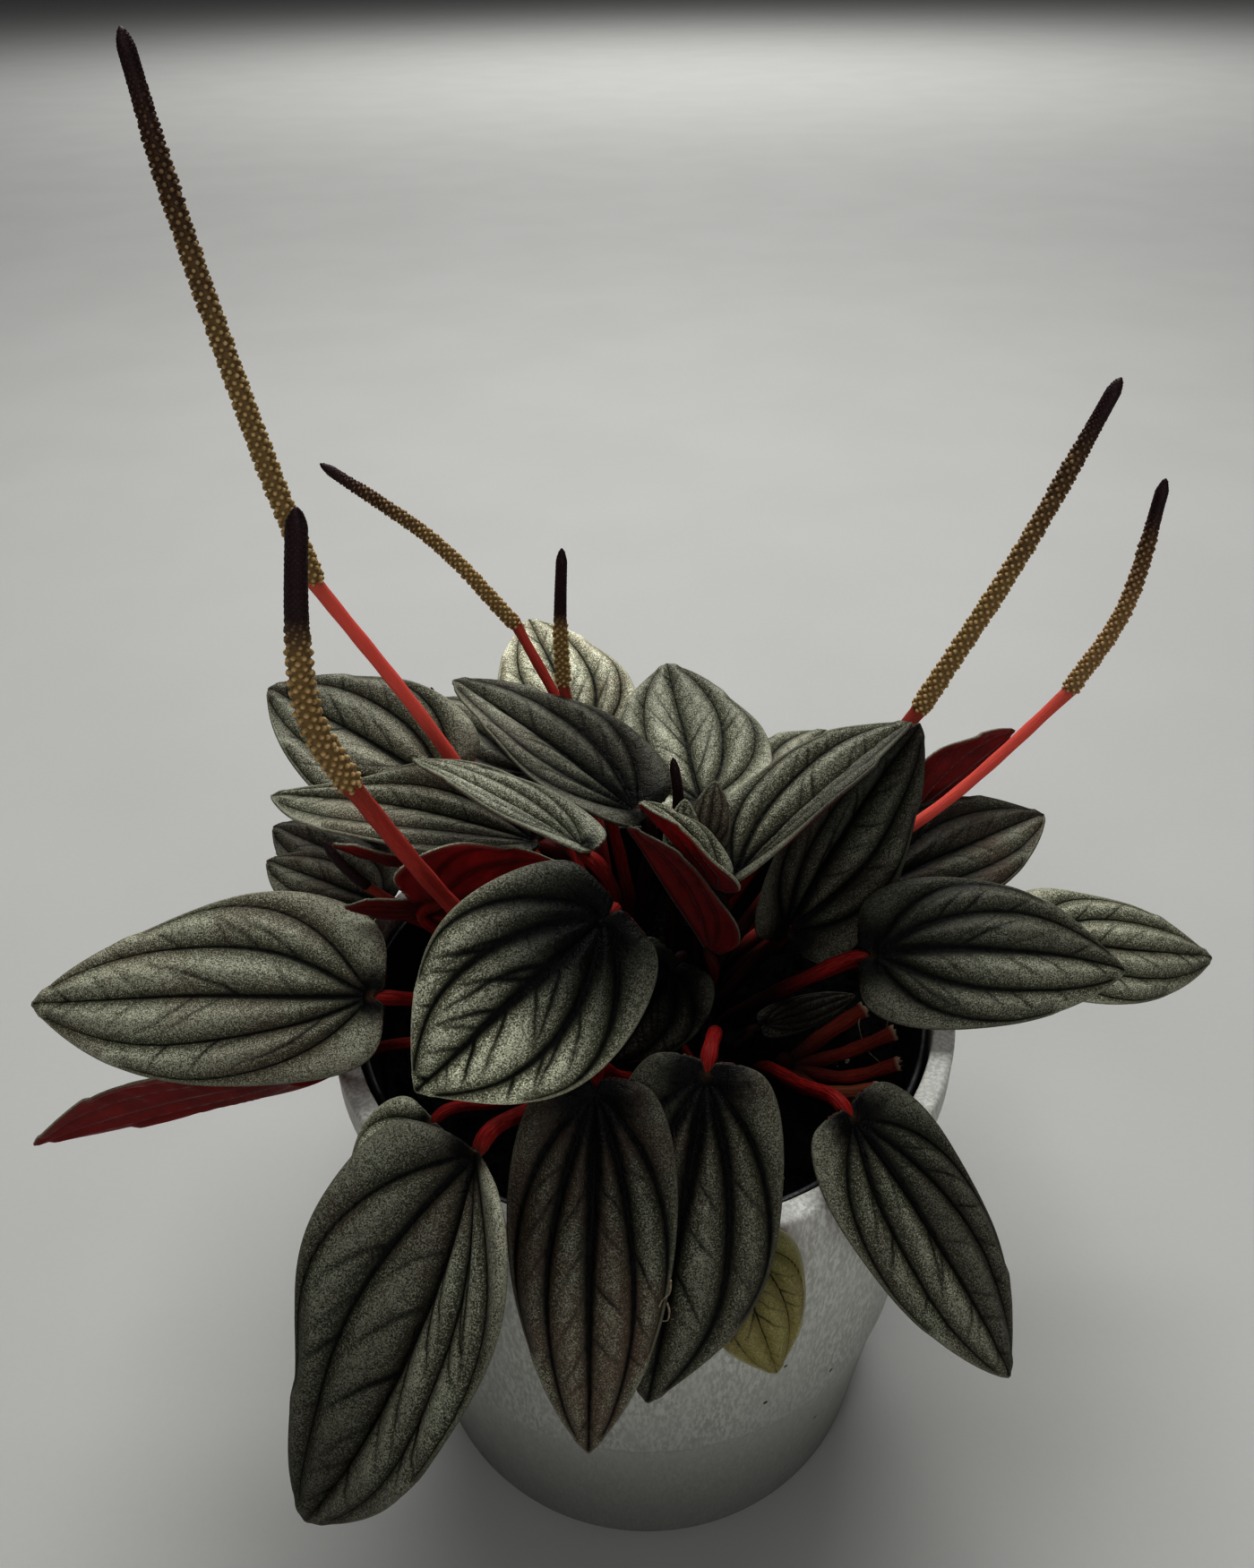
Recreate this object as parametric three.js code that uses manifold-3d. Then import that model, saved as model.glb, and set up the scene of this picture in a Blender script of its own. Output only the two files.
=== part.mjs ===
// A potted peperomia: a low rosette of quilted, silver-green leaves with red undersides and red
// stalks, upright flower spikes covered in tiny florets, moist black soil in a black grower's pot,
// and a plain grey cover pot round it.
// Millimetres, +Z up. The origin is the centre of the pot's underside, and -Y is the front.
import * as THREE from "three";
import { mergeVertices } from "three/addons/utils/BufferGeometryUtils.js";
import Module from "manifold-3d";

const wasm = await Module();
wasm.setup();

// Driving dimensions -----------------------------------------------------------------------------
const GAP = 0.35; // clearance between two pieces that rest against each other

const RIM_RADIUS = 60; // cover pot: outer edge of the flat rim
const RIM_WIDTH = 4.2;
const RIM_HEIGHT = 9; // depth of the thicker band under the rim
const POT_HEIGHT = 114;
const POT_WALL = 2.2;
const SHOULDER_RADIUS = 56.2; // where the wall steps in above the foot
const SHOULDER_HEIGHT = 46;
const FOOT_RADIUS = 55.2; // top of the foot, just below the step
const BASE_RADIUS = 50.4;
const FLOOR = 3;
const POT_SEGMENTS = 36;

const GROWER_RADIUS = 55; // grower's pot: outside at its lip
const GROWER_TOP = 112.4;
const GROWER_BASE_RADIUS = 42;
const GROWER_WALL = 1.2;
const GROWER_SEGMENTS = 28;

const SOIL_TOP = 100;
const SOIL_BUMP = 1.6; // height of the crumbs' relief on the soil
const HOLE_DEPTH = 9;
const HOLE_ROOM = 1.6; // between a stalk and the side of its hole
const HOLE_SIDES = 5;
const HOLE_CUT = HOLE_DEPTH + 8; // length of the cutter, which stands out of the soil

const BLADE_THICKNESS = 1;
const QUILT_DEPTH = 0.9; // how far the blade sinks along its veins
const VEIN_SPACING = 0.36; // across half a blade, as a share of its half width
const STALK_RADIUS = 1.55;
const SMALL_STALK_RADIUS = 1.2;
const STALK_SIDES = 5;
const SPIKE_STALK = 0.36; // radius of a spike's stalk, as a share of the spike's width
const SPIKE_SIDES = 8;

// Rows and columns of a blade: t runs from the stalk to the tip, u from edge to edge.
const LARGE_BLADE = {
  rows: [0, 0.03, 0.12, 0.32, 0.58, 0.82, 1],
  columns: [-1, -0.72, -0.54, -0.36, -0.18, 0, 0.18, 0.36, 0.54, 0.72, 1],
};
const SMALL_BLADE = {
  rows: [0, 0.04, 0.16, 0.4, 0.72, 1],
  columns: [-1, -0.54, -0.18, 0, 0.18, 0.54, 1],
};

// The leaves. root is where the stalk stands in the soil, via is a point that the stalk passes,
// base is where it meets the blade, and face is the way that the blade's upper side looks.
// width is across the blade, fold raises both halves by that many degrees, cup curls the edges
// up (or down below zero), twist turns the blade by that many degrees from stalk to tip, arch lifts
// the middle of the midrib, bend bows it sideways, lobe is how far the two round lobes reach back
// past the stalk, full widens the blade below its tip (or narrows it), and wave ruffles the edges.
const LEAVES = [
  { name: "leaf_front", root: [-3, -8], via: [-10, -14, 134], base: [-7.3, -36, 160.5],
    tip: [-35, -52, 142], face: [0, -0.76, 0.65], width: 29, cup: -0.12, arch: 0.08, lobe: 0.15,
    full: 0.2 },
  { name: "leaf_left", root: [-14, -4], via: [-30, -11, 119], base: [-48, -19, 130],
    tip: [-112, -14, 125], face: [0, -0.6, 0.8], width: 35, cup: -0.1, arch: 0.06, lobe: 0.05 },
  { name: "leaf_low_left", root: [-8, -14], via: [-12, -40, 127], base: [-26, -58, 136],
    tip: [-53, -90, 91], face: [-0.5, -0.6, 0.7], width: 40, cup: -0.1, arch: 0.08, bend: 0.1,
    fold: 20, twist: 30, lobe: 0, full: -0.14 },
  { name: "leaf_low_middle", root: [-1, -18], via: [-5, -38, 129], base: [-8, -52, 140],
    tip: [-10, -82, 95], face: [0, -0.6, 0.8], width: 25, cup: -0.15, arch: 0.1 },
  { name: "leaf_low_middle_right", root: [10, -18], via: [12, -26, 126], base: [9, -47, 139],
    tip: [-1, -76, 98], face: [0, -0.6, 0.8], width: 27, cup: -0.15, arch: 0.1 },
  { name: "leaf_yellow", root: [16, -23], via: [17, -48, 121], base: [13, -62, 117],
    tip: [20.5, -67, 90], face: [0.2, -0.9, 0.3], width: 19, cup: -0.1, small: true },
  { name: "leaf_low_right", root: [22, -13], via: [28, -29, 116], base: [34, -42, 123],
    tip: [59, -67, 88], face: [0.3, -0.6, 0.8], width: 25, cup: -0.15, arch: 0.07 },
  { name: "leaf_right", root: [15, -2], via: [29, -5, 118], base: [43, -5, 125],
    tip: [91, -7, 122], face: [0, -0.5, 0.87], width: 30, cup: -0.12, arch: 0.08, bend: 0.03 },
  { name: "leaf_far_right", root: [20, 2], via: [54, 7, 117], base: [79, 13, 113],
    tip: [123, 19, 101], face: [0, -0.45, 0.9], width: 25, cup: -0.1, arch: 0.04, bend: -0.02 },
  { name: "leaf_right_tall", root: [16, 5], via: [23, 8, 112], base: [29, 7, 120],
    tip: [54, 22, 159], face: [0.35, -0.8, 0.45], width: 28, arch: -0.05, fold: 22 },
  { name: "leaf_right_back", root: [18, 11], via: [34, 18, 114], base: [50, 23, 119],
    tip: [89, 41, 124], face: [0, -0.3, 0.95], width: 27, cup: 0.1, arch: 0.03 },
  { name: "leaf_upper_right", root: [8, 4], via: [12, 2, 130], base: [16, -6, 145],
    tip: [51, 19, 162], face: [-0.3, 0, 0.95], width: 23, fold: 30, arch: 0.03 },
  { name: "leaf_red_back_right", root: [21, 20], via: [36, 34, 118], base: [60, 46, 122],
    tip: [84, 57, 136], face: [0.2, 0.8, 0.5], width: 24, cup: 0.1, small: true },
  { name: "leaf_top", root: [4, 8], via: [8, 16, 120], base: [13, 29, 137],
    tip: [7, 67, 149], face: [0, -0.3, 0.95], width: 33, cup: 0.12, arch: -0.03 },
  { name: "leaf_back_right", root: [10, 16], via: [18, 28, 115], base: [28, 42, 122],
    tip: [46, 76, 125], face: [0, -0.2, 0.98], width: 27, arch: 0.05, small: true },
  { name: "leaf_back_left", root: [0, 14], via: [-4, 32, 120], base: [-11, 50, 138],
    tip: [-25, 86, 151], face: [0, -0.3, 0.95], width: 30, arch: 0.03 },
  { name: "leaf_back_far_left", root: [-6, 14], via: [-14, 34, 118], base: [-24, 54, 128],
    tip: [-50, 78, 134], face: [0, -0.2, 0.98], width: 25, arch: 0.05, small: true },
  { name: "leaf_upper_left", root: [0, 2], via: [0, 8, 128], base: [0, 15, 145],
    tip: [-37, 40, 161], face: [0.2, -0.1, 0.97], width: 27, fold: 14, arch: 0.02 },
  { name: "leaf_left_back", root: [-10, 8], via: [-24, 19, 124], base: [-39, 28, 143],
    tip: [-78, 50, 154], face: [0, -0.45, 0.9], width: 32, fold: 4, arch: 0.02 },
  { name: "leaf_left_upper", root: [-6, 0], via: [-10, -2, 128], base: [-18.5, -2, 151],
    tip: [-72, 20, 147], face: [0, -0.35, 0.95], width: 20, cup: 0.05, arch: 0.02, bend: -0.03,
    fold: 18, lobe: 0.02 },
  { name: "leaf_top_left", root: [-1, -3], via: [-3, -9, 132], base: [-9.5, -18, 161.5],
    tip: [-41, 9, 162], face: [0.1, 0.1, 1], width: 12, fold: 20, arch: 0.02 },
  { name: "leaf_left_small", root: [-14, 2], via: [-32, 2, 122], base: [-50, 6, 131],
    tip: [-77, 24, 128], face: [0, -0.3, 0.95], width: 19, small: true },
  { name: "leaf_left_hidden", root: [-12, 12], via: [-30, 20, 117], base: [-52, 28, 125],
    tip: [-81, 42, 127], face: [0, -0.2, 0.98], width: 19, small: true },
  { name: "leaf_red_left", root: [-8, -4], via: [-17, -9, 120], base: [-38.5, -10, 143],
    tip: [-17.3, -8, 150], face: [-0.2, 0.95, 0.1], width: 18, small: true },
  { name: "leaf_red_low_left", root: [-16, -10], via: [-46, -19, 118], base: [-64, -21, 113],
    tip: [-116, -22, 97], face: [0, 0.85, 0.4], width: 22, arch: 0.04, small: true },
  { name: "leaf_pale_small", root: [-14, -16], via: [-24, -34, 119], base: [-36, -41, 122],
    tip: [-50, -50, 110], face: [0, -0.5, 0.87], width: 17, small: true },
  { name: "leaf_dark_inner", root: [4, -12], via: [6, -16, 122], base: [5, -19, 135],
    tip: [-6, -29, 123], face: [0, -0.76, 0.65], width: 19, lobe: 0.2, small: true },
  { name: "leaf_young_red", root: [6, -8], via: [10, -13, 120], base: [12, -17, 138],
    tip: [-2, -18, 166], face: [0.6, 0.7, 0.2], width: 13, fold: 35, small: true },
  { name: "leaf_young_green", root: [10, -6], via: [12, -12, 126], base: [13.5, -13.5, 149],
    tip: [0, -10, 165], face: [0.7, 0.2, 0.6], width: 15, fold: 30, small: true },
  { name: "leaf_young_centre", root: [8, -1], via: [7, -3, 124], base: [7, -2, 147],
    tip: [8, 3, 156], face: [0, -0.8, 0.5], width: 7, fold: 20, small: true },
  { name: "leaf_low_inner", root: [18, -7], via: [21, -5, 104], base: [24, -3, 105],
    tip: [43, 3, 107], face: [0, -0.5, 0.87], width: 7, small: true },
  { name: "leaf_behind_right", root: [14, 23], via: [34, 45, 117.5], base: [48, 57, 117],
    tip: [78, 90, 95], face: [0, 0, 1], width: 28, arch: 0.08, small: true },
  { name: "leaf_behind_middle", root: [6, 20], via: [10, 44, 118], base: [14, 64, 118],
    tip: [20, 108, 92], face: [0, 0, 1], width: 30, arch: 0.1, small: true },
  { name: "leaf_behind_left", root: [-6, 18], via: [-16, 42, 118], base: [-26, 60, 116],
    tip: [-44, 100, 90], face: [0, 0, 1], width: 30, arch: 0.1, small: true },
  { name: "leaf_behind_far_left", root: [-14, 16], via: [-36, 33, 118], base: [-54, 46, 116],
    tip: [-90, 72, 94], face: [0, 0, 1], width: 27, arch: 0.08, small: true },
];

// The flower spikes: a smooth red stalk from the soil past via to the first point of spike, and
// then a tail covered in florets through the points of spike. thick is its width at its base.
const SPIKES = [
  { name: "spike_tall_left", root: [-7, 5], via: [-37, 22, 155], thick: 3.8, rings: 30,
    spike: [[-57, 23, 190], [-61, 23, 208], [-65, 23, 230], [-69, 23, 256], [-71, 23, 275]] },
  { name: "spike_front_left", root: [-10, -8], via: [-34, -21, 156], thick: 4, rings: 18,
    spike: [[-43, -28, 181], [-46.5, -31, 195], [-45.5, -33, 209], [-42.5, -34, 227]] },
  { name: "spike_back_left", root: [-4, 10], via: [-12, 40, 142], thick: 3, rings: 16,
    spike: [[-25, 56, 164], [-40, 56, 183], [-61, 56, 200]] },
  { name: "spike_back_middle", root: [-2, 7], via: [-10, 30, 136], thick: 3, rings: 12,
    spike: [[-15, 41, 158], [-15, 41, 172], [-14, 41, 188]] },
  { name: "spike_young_left", root: [-10, 17], via: [-28, 41, 127], thick: 2.2, rings: 6,
    spike: [[-41, 50, 141], [-42.5, 50, 147], [-43.5, 50, 153]] },
  { name: "spike_young_centre", root: [4, 2], via: [6, 6, 124], thick: 2.4, rings: 6,
    spike: [[7, 9, 147], [7, 9, 153], [6, 9, 161]] },
  { name: "spike_right", root: [12, 8], via: [32, 20, 130], thick: 3.8, rings: 22,
    spike: [[55, 30, 157], [71, 33, 189], [84, 36, 220]] },
  { name: "spike_far_right", root: [17, 16], via: [66, 32, 136], thick: 3.4, rings: 16,
    spike: [[87, 38, 156], [96, 41, 173], [99, 43, 199]] },
  { name: "spike_low_left", root: [-14, -1], via: [-34, -3, 128], thick: 2.4, rings: 8,
    spike: [[-50, -1, 140], [-54, -1, 145], [-57, -1, 151]] },
];

// Cut stalks left on a short woody stem: each runs from the stem to its cut end.
const STEM = { at: [27, -13], radius: 2.6, top: 106 };
const STUBS = [
  { via: [34, -8, 106], end: [43.5, -3, 109], radius: 1.5 },
  { via: [38, -11.5, 105.5], end: [48.5, -9, 108.5], radius: 1.3 },
  { via: [38, -17, 105], end: [48, -17, 108.5], radius: 1.3 },
  { via: [33, -21, 105.5], end: [43, -22.5, 107.5], radius: 1.4 },
];

// Colours ----------------------------------------------------------------------------------------
const material = (color, roughness) => new THREE.MeshStandardMaterial({ color, roughness, metalness: 0 });
const LEAF_GREEN = 0x59604f;
const LEAF_YELLOW = 0x6d7038;
const STALK_RED = 0x8a2a26;
const SPIKE_OLIVE = 0x7a6a35;
const POT_GREY = 0x8b8f8c;
const GROWER_BLACK = 0x0c0c0c;
const SOIL_BLACK = 0x14110f;

// Solids -----------------------------------------------------------------------------------------
// A closed geometry as a solid that can be joined and cut, and back again.
function solidOf(geometry) {
  const bare = geometry.clone();
  bare.deleteAttribute("normal");
  bare.deleteAttribute("uv");
  const merged = mergeVertices(bare, 1e-4);
  return new wasm.Manifold(
    new wasm.Mesh({
      numProp: 3,
      vertProperties: merged.attributes.position.array,
      triVerts: new Uint32Array(merged.index.array),
    }),
  );
}

function geometryOf(solid) {
  const mesh = solid.getMesh();
  return new THREE.BufferGeometry()
    .setAttribute("position", new THREE.BufferAttribute(mesh.vertProperties, 3))
    .setIndex(new THREE.BufferAttribute(mesh.triVerts, 1));
}

// Points and triangles as an indexed geometry.
function closedGeometry(points, triangles) {
  return new THREE.BufferGeometry()
    .setAttribute("position", new THREE.Float32BufferAttribute(points.flatMap((p) => p.toArray()), 3))
    .setIndex(triangles.flat());
}

// A round tube with closed ends along a curve; radiusAt takes the share of the length and the
// number of the ring and of the side.
function tube(curve, sides, steps, radiusAt) {
  const frames = curve.computeFrenetFrames(steps, false);
  const points = [];
  const triangles = [];
  for (let i = 0; i <= steps; i++) {
    const centre = curve.getPointAt(i / steps);
    for (let j = 0; j < sides; j++) {
      const angle = (2 * Math.PI * (j + (i % 2) / 2)) / sides;
      const radius = radiusAt(i / steps, i, j);
      points.push(
        centre
          .clone()
          .addScaledVector(frames.normals[i], radius * Math.cos(angle))
          .addScaledVector(frames.binormals[i], radius * Math.sin(angle)),
      );
    }
  }
  const start = points.push(curve.getPointAt(0)) - 1;
  const end = points.push(curve.getPointAt(1)) - 1;
  for (let i = 0; i < steps; i++)
    for (let j = 0; j < sides; j++) {
      const a = i * sides + j;
      const b = i * sides + ((j + 1) % sides);
      // odd rings are turned by half a side, so the quads lean one way and then the other
      if (i % 2) triangles.push([a, b, b + sides], [a, b + sides, a + sides]);
      else triangles.push([a, b, a + sides], [b, b + sides, a + sides]);
    }
  for (let j = 0; j < sides; j++) {
    const next = (j + 1) % sides;
    triangles.push([start, next, j], [end, steps * sides + j, steps * sides + next]);
  }
  return closedGeometry(points, triangles);
}

const vector = (xyz) => new THREE.Vector3(...xyz);

// Leaves -----------------------------------------------------------------------------------------
// Half the blade's width at t, as a share of its greatest half width.
const outline = (t) =>
  0.29 * (1 - t) ** 4 - 0.17 * Math.exp(-80 * t) + 2.3 * t ** 0.5 * (1 - t) ** 0.85;

// The blade's midrib, sideways and upward directions, and its length.
function bladeFrame(leaf) {
  const base = vector(leaf.base);
  const along = vector(leaf.tip).sub(base);
  const length = along.length();
  along.normalize();
  const face = vector(leaf.face);
  face.addScaledVector(along, -face.dot(along)).normalize();
  return { base, along, face, side: face.clone().cross(along), length };
}

// A point of the blade's middle surface.
function bladePoint(leaf, frame, t, u) {
  const { fold = 0, cup = 0, twist = 0, arch = 0, bend = 0, lobe = 0.07, full = 0, wave = 0.03 } = leaf;
  const edge = Math.abs(u);
  const fuller = 1 + full * Math.sin(Math.PI * t ** 1.5);
  const across = outline(t) * fuller * edge * (leaf.width / 2);
  const tilt = THREE.MathUtils.degToRad(fold);
  const back = lobe * edge ** 1.5 * (1 - t) ** 4;
  const quilt = 0.5 + 0.5 * Math.cos((2 * Math.PI * u) / VEIN_SPACING);
  const inside = edge < 0.95 ? Math.sin(Math.PI * Math.min(1, t * 1.1)) : 0;
  const ruffle = wave * leaf.width * edge ** 3 * Math.sin(9 * t + 2 * Math.sign(u)) * Math.sin(Math.PI * t);
  const raised = across * Math.sin(tilt) + cup * across * edge - QUILT_DEPTH * quilt * inside + ruffle;
  const outward = Math.sign(u) * across * Math.cos(tilt);
  const roll = THREE.MathUtils.degToRad(twist * (t - 0.5));
  const hump = frame.length * 4 * t * (1 - t);
  return frame.base
    .clone()
    .addScaledVector(frame.along, frame.length * (t - back))
    .addScaledVector(frame.side, bend * hump + outward * Math.cos(roll) + raised * Math.sin(roll))
    .addScaledVector(frame.face, arch * hump - outward * Math.sin(roll) + raised * Math.cos(roll));
}

// The blade as a thin closed sheet: the same triangles on its upper and lower sides, and a rim.
function blade(leaf, frame) {
  const { rows, columns } = leaf.small ? SMALL_BLADE : LARGE_BLADE;
  const width = columns.length;
  const tipRow = rows.length - 1;
  const step = 0.01;
  const points = [];
  for (const side of [1, -1])
    rows.forEach((t, i) => {
      for (const u of i === tipRow ? [0] : columns) {
        const alongT = bladePoint(leaf, frame, Math.min(1, t + step), u).sub(
          bladePoint(leaf, frame, Math.max(0, t - step), u),
        );
        const middle = i === tipRow ? 0.98 : t;
        const acrossU = bladePoint(leaf, frame, middle, Math.min(1, u + 0.1)).sub(
          bladePoint(leaf, frame, middle, Math.max(-1, u - 0.1)),
        );
        const normal = alongT.cross(acrossU).normalize();
        if (normal.dot(frame.face) < 0) normal.negate();
        points.push(
          bladePoint(leaf, frame, t, u).addScaledVector(normal, (side * BLADE_THICKNESS) / 2),
        );
      }
    });
  const perSide = points.length / 2;
  const at = (i, j) => (i === tipRow ? tipRow * width : i * width + j);
  const upper = [];
  for (let i = 0; i < tipRow; i++)
    for (let j = 0; j < width - 1; j++) {
      const [a, b, c, d] = [at(i, j), at(i + 1, j), at(i + 1, j + 1), at(i, j + 1)];
      if (i === tipRow - 1) upper.push([a, b, d]);
      else if (j < (width - 1) / 2) upper.push([a, b, d], [d, b, c]);
      else upper.push([a, c, d], [a, b, c]);
    }
  const lower = upper.map(([a, b, c]) => [a + perSide, c + perSide, b + perSide]);
  const border = [];
  for (let j = 0; j < width - 1; j++) border.push(at(0, j));
  for (let i = 0; i < tipRow; i++) border.push(at(i, width - 1));
  for (let i = tipRow; i > 0; i--) border.push(at(i, 0));
  const rim = border.flatMap((a, k) => {
    const b = border[(k + 1) % border.length];
    return [
      [a, b, a + perSide],
      [b, b + perSide, a + perSide],
    ];
  });
  return closedGeometry(points, [...upper, ...lower, ...rim]);
}

const stalkRadius = (leaf) => (leaf.small ? SMALL_STALK_RADIUS : STALK_RADIUS);

// Where a stalk stands: at the bottom of its hole, and where it leaves the soil.
const stalkFoot = ([x, y]) => [
  new THREE.Vector3(x, y, SOIL_TOP - HOLE_DEPTH + GAP),
  new THREE.Vector3(x, y, SOIL_TOP + 3),
];

// The stalk, from the bottom of its hole to just inside the blade.
function leafStalk(leaf, frame) {
  const thick = stalkRadius(leaf);
  const inBlade = frame.base.clone().addScaledVector(frame.along, 1.5);
  const under = frame.base.clone().addScaledVector(frame.along, -3).addScaledVector(frame.face, -1.2);
  const curve = new THREE.CatmullRomCurve3(
    [...stalkFoot(leaf.root), vector(leaf.via), under, inBlade],
    false,
    "centripetal",
  );
  const steps = leaf.small ? 5 : 7;
  return tube(curve, STALK_SIDES, steps, (s) => thick * (s < 1 ? 1 - 0.2 * s : 0.35));
}

function leafSolid(leaf) {
  const frame = bladeFrame(leaf);
  return solidOf(blade(leaf, frame)).add(solidOf(leafStalk(leaf, frame)));
}

// Flower spikes ----------------------------------------------------------------------------------
function spikeSolid(spike) {
  const points = spike.spike.map(vector);
  const base = points[0];
  const rise = base.clone().sub(vector(spike.via)).normalize();
  const stalkCurve = new THREE.CatmullRomCurve3(
    [...stalkFoot(spike.root), vector(spike.via), base.clone().addScaledVector(rise, 2)],
    false,
    "centripetal",
  );
  const stalk = tube(stalkCurve, STALK_SIDES, 9, () => SPIKE_STALK * spike.thick);
  const spikeCurve = new THREE.CatmullRomCurve3(points);
  // florets stand out on every other side of every other ring, and fade towards the smooth tip
  const floret = (s, i, j) => {
    const girth = (spike.thick / 2) * (1 - 0.35 * s) * (s < 1 ? 1 : 0.45);
    const bump = (Math.floor(i / 2) + j) % 2 ? 1 : 0.8;
    return girth * (s < 0.85 ? bump : 0.92);
  };
  return solidOf(stalk).add(solidOf(tube(spikeCurve, SPIKE_SIDES, spike.rings, floret)));
}

// Cut stubs --------------------------------------------------------------------------------------
function stubsSolid() {
  const [x, y] = STEM.at;
  const [bottom] = stalkFoot(STEM.at);
  const top = new THREE.Vector3(x, y, STEM.top);
  const stem = tube(new THREE.LineCurve3(bottom, top), STALK_SIDES, 2, (s) => STEM.radius * (1 - 0.3 * s));
  const start = new THREE.Vector3(x, y, STEM.top - 2.5);
  return STUBS.reduce(
    (whole, stub) =>
      whole.add(
        solidOf(
          tube(new THREE.CatmullRomCurve3([start, vector(stub.via), vector(stub.end)]), STALK_SIDES, 4,
            () => stub.radius),
        ),
      ),
    solidOf(stem),
  );
}

// Pots and soil ----------------------------------------------------------------------------------
const turned = (profile, segments) =>
  new THREE.LatheGeometry(
    profile.map(([r, z]) => new THREE.Vector2(r, z)),
    segments,
  ).rotateX(Math.PI / 2);

function coverPot() {
  const underRim = RIM_RADIUS - 1.2;
  return turned(
    [
      [0, 0],
      [BASE_RADIUS - 3, 0],
      [BASE_RADIUS, 2.5],
      [FOOT_RADIUS - 0.5, SHOULDER_HEIGHT - 6],
      [FOOT_RADIUS, SHOULDER_HEIGHT - 2],
      [SHOULDER_RADIUS, SHOULDER_HEIGHT],
      [underRim, POT_HEIGHT - RIM_HEIGHT],
      [RIM_RADIUS, POT_HEIGHT - RIM_HEIGHT + 1],
      [RIM_RADIUS, POT_HEIGHT - 0.6],
      [RIM_RADIUS - 0.6, POT_HEIGHT],
      [RIM_RADIUS - RIM_WIDTH, POT_HEIGHT],
      [FOOT_RADIUS - POT_WALL, SHOULDER_HEIGHT],
      [BASE_RADIUS - POT_WALL, FLOOR],
      [0, FLOOR],
    ],
    POT_SEGMENTS,
  );
}

// Outside radius of the grower's pot at a height.
const growerBottom = FLOOR + GAP;
const growerRadius = (z) =>
  THREE.MathUtils.lerp(GROWER_BASE_RADIUS, GROWER_RADIUS, (z - growerBottom) / (GROWER_TOP - growerBottom));

function growerPot() {
  const inner = (z) => growerRadius(z) - GROWER_WALL;
  const floorTop = growerBottom + GROWER_WALL;
  return turned(
    [
      [0, growerBottom],
      [growerRadius(growerBottom), growerBottom],
      [growerRadius(GROWER_TOP), GROWER_TOP],
      [inner(GROWER_TOP), GROWER_TOP],
      [inner(floorTop), floorTop],
      [0, floorTop],
    ],
    GROWER_SEGMENTS,
  );
}

// The soil fills the grower's pot and has a lumpy top, with a plain hole for each stalk.
function soilSolid() {
  const radius = (z) => growerRadius(z) - GROWER_WALL - GAP;
  const bottom = growerBottom + GROWER_WALL + GAP;
  const rings = [0.3, 0.55, 0.8].map((share) => [share * radius(SOIL_TOP), SOIL_TOP]);
  const body = turned(
    [[0, bottom], [radius(bottom), bottom], [radius(SOIL_TOP), SOIL_TOP], ...rings.reverse(), [0, SOIL_TOP]],
    GROWER_SEGMENTS,
  );
  const position = body.attributes.position;
  for (let i = 0; i < position.count; i++) {
    const [x, y, z] = [position.getX(i), position.getY(i), position.getZ(i)];
    const inside = Math.hypot(x, y) < 0.9 * radius(SOIL_TOP) && z > SOIL_TOP - 1;
    const lump = Math.sin(0.31 * x + 1) * Math.cos(0.27 * y) + 0.5 * Math.sin(0.7 * x - 0.6 * y);
    if (inside) position.setZ(i, z + SOIL_BUMP * 0.6 * lump);
  }
  const hole = (root, holeRadius) =>
    solidOf(
      new THREE.CylinderGeometry(holeRadius, holeRadius, HOLE_CUT, HOLE_SIDES)
        .rotateX(Math.PI / 2)
        .translate(root[0], root[1], SOIL_TOP - HOLE_DEPTH + HOLE_CUT / 2),
    );
  const holes = [
    ...LEAVES.map((leaf) => hole(leaf.root, stalkRadius(leaf) + HOLE_ROOM)),
    ...SPIKES.map((spike) => hole(spike.root, SPIKE_STALK * spike.thick + HOLE_ROOM)),
    hole(STEM.at, STEM.radius + HOLE_ROOM / 2),
  ];
  return holes.reduce((left, cutter) => left.subtract(cutter), solidOf(body));
}

// The part ---------------------------------------------------------------------------------------
const part = new THREE.Group();

function place(name, geometry, look) {
  const mesh = new THREE.Mesh(geometry, look);
  mesh.name = name;
  part.add(mesh);
}

place("cover_pot", coverPot(), material(POT_GREY, 0.55));
place("grower_pot", growerPot(), material(GROWER_BLACK, 0.6));
place("soil", geometryOf(soilSolid()), material(SOIL_BLACK, 0.95));
place("stem_stubs", geometryOf(stubsSolid()), material(STALK_RED, 0.5));
for (const leaf of LEAVES) {
  const color = leaf.name === "leaf_yellow" ? LEAF_YELLOW : LEAF_GREEN;
  place(leaf.name, geometryOf(leafSolid(leaf)), material(color, 0.5));
}
for (const spike of SPIKES) place(spike.name, geometryOf(spikeSolid(spike)), material(SPIKE_OLIVE, 0.6));

export default part;
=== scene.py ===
# A potted peperomia: a rosette of quilted silver-grey leaves with red undersides and red stalks,
# tall flower spikes, black soil in a black grower's pot, and a plain grey cover pot.
import math

import bpy
import numpy as np
from mathutils import Euler, Matrix, Vector


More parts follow.
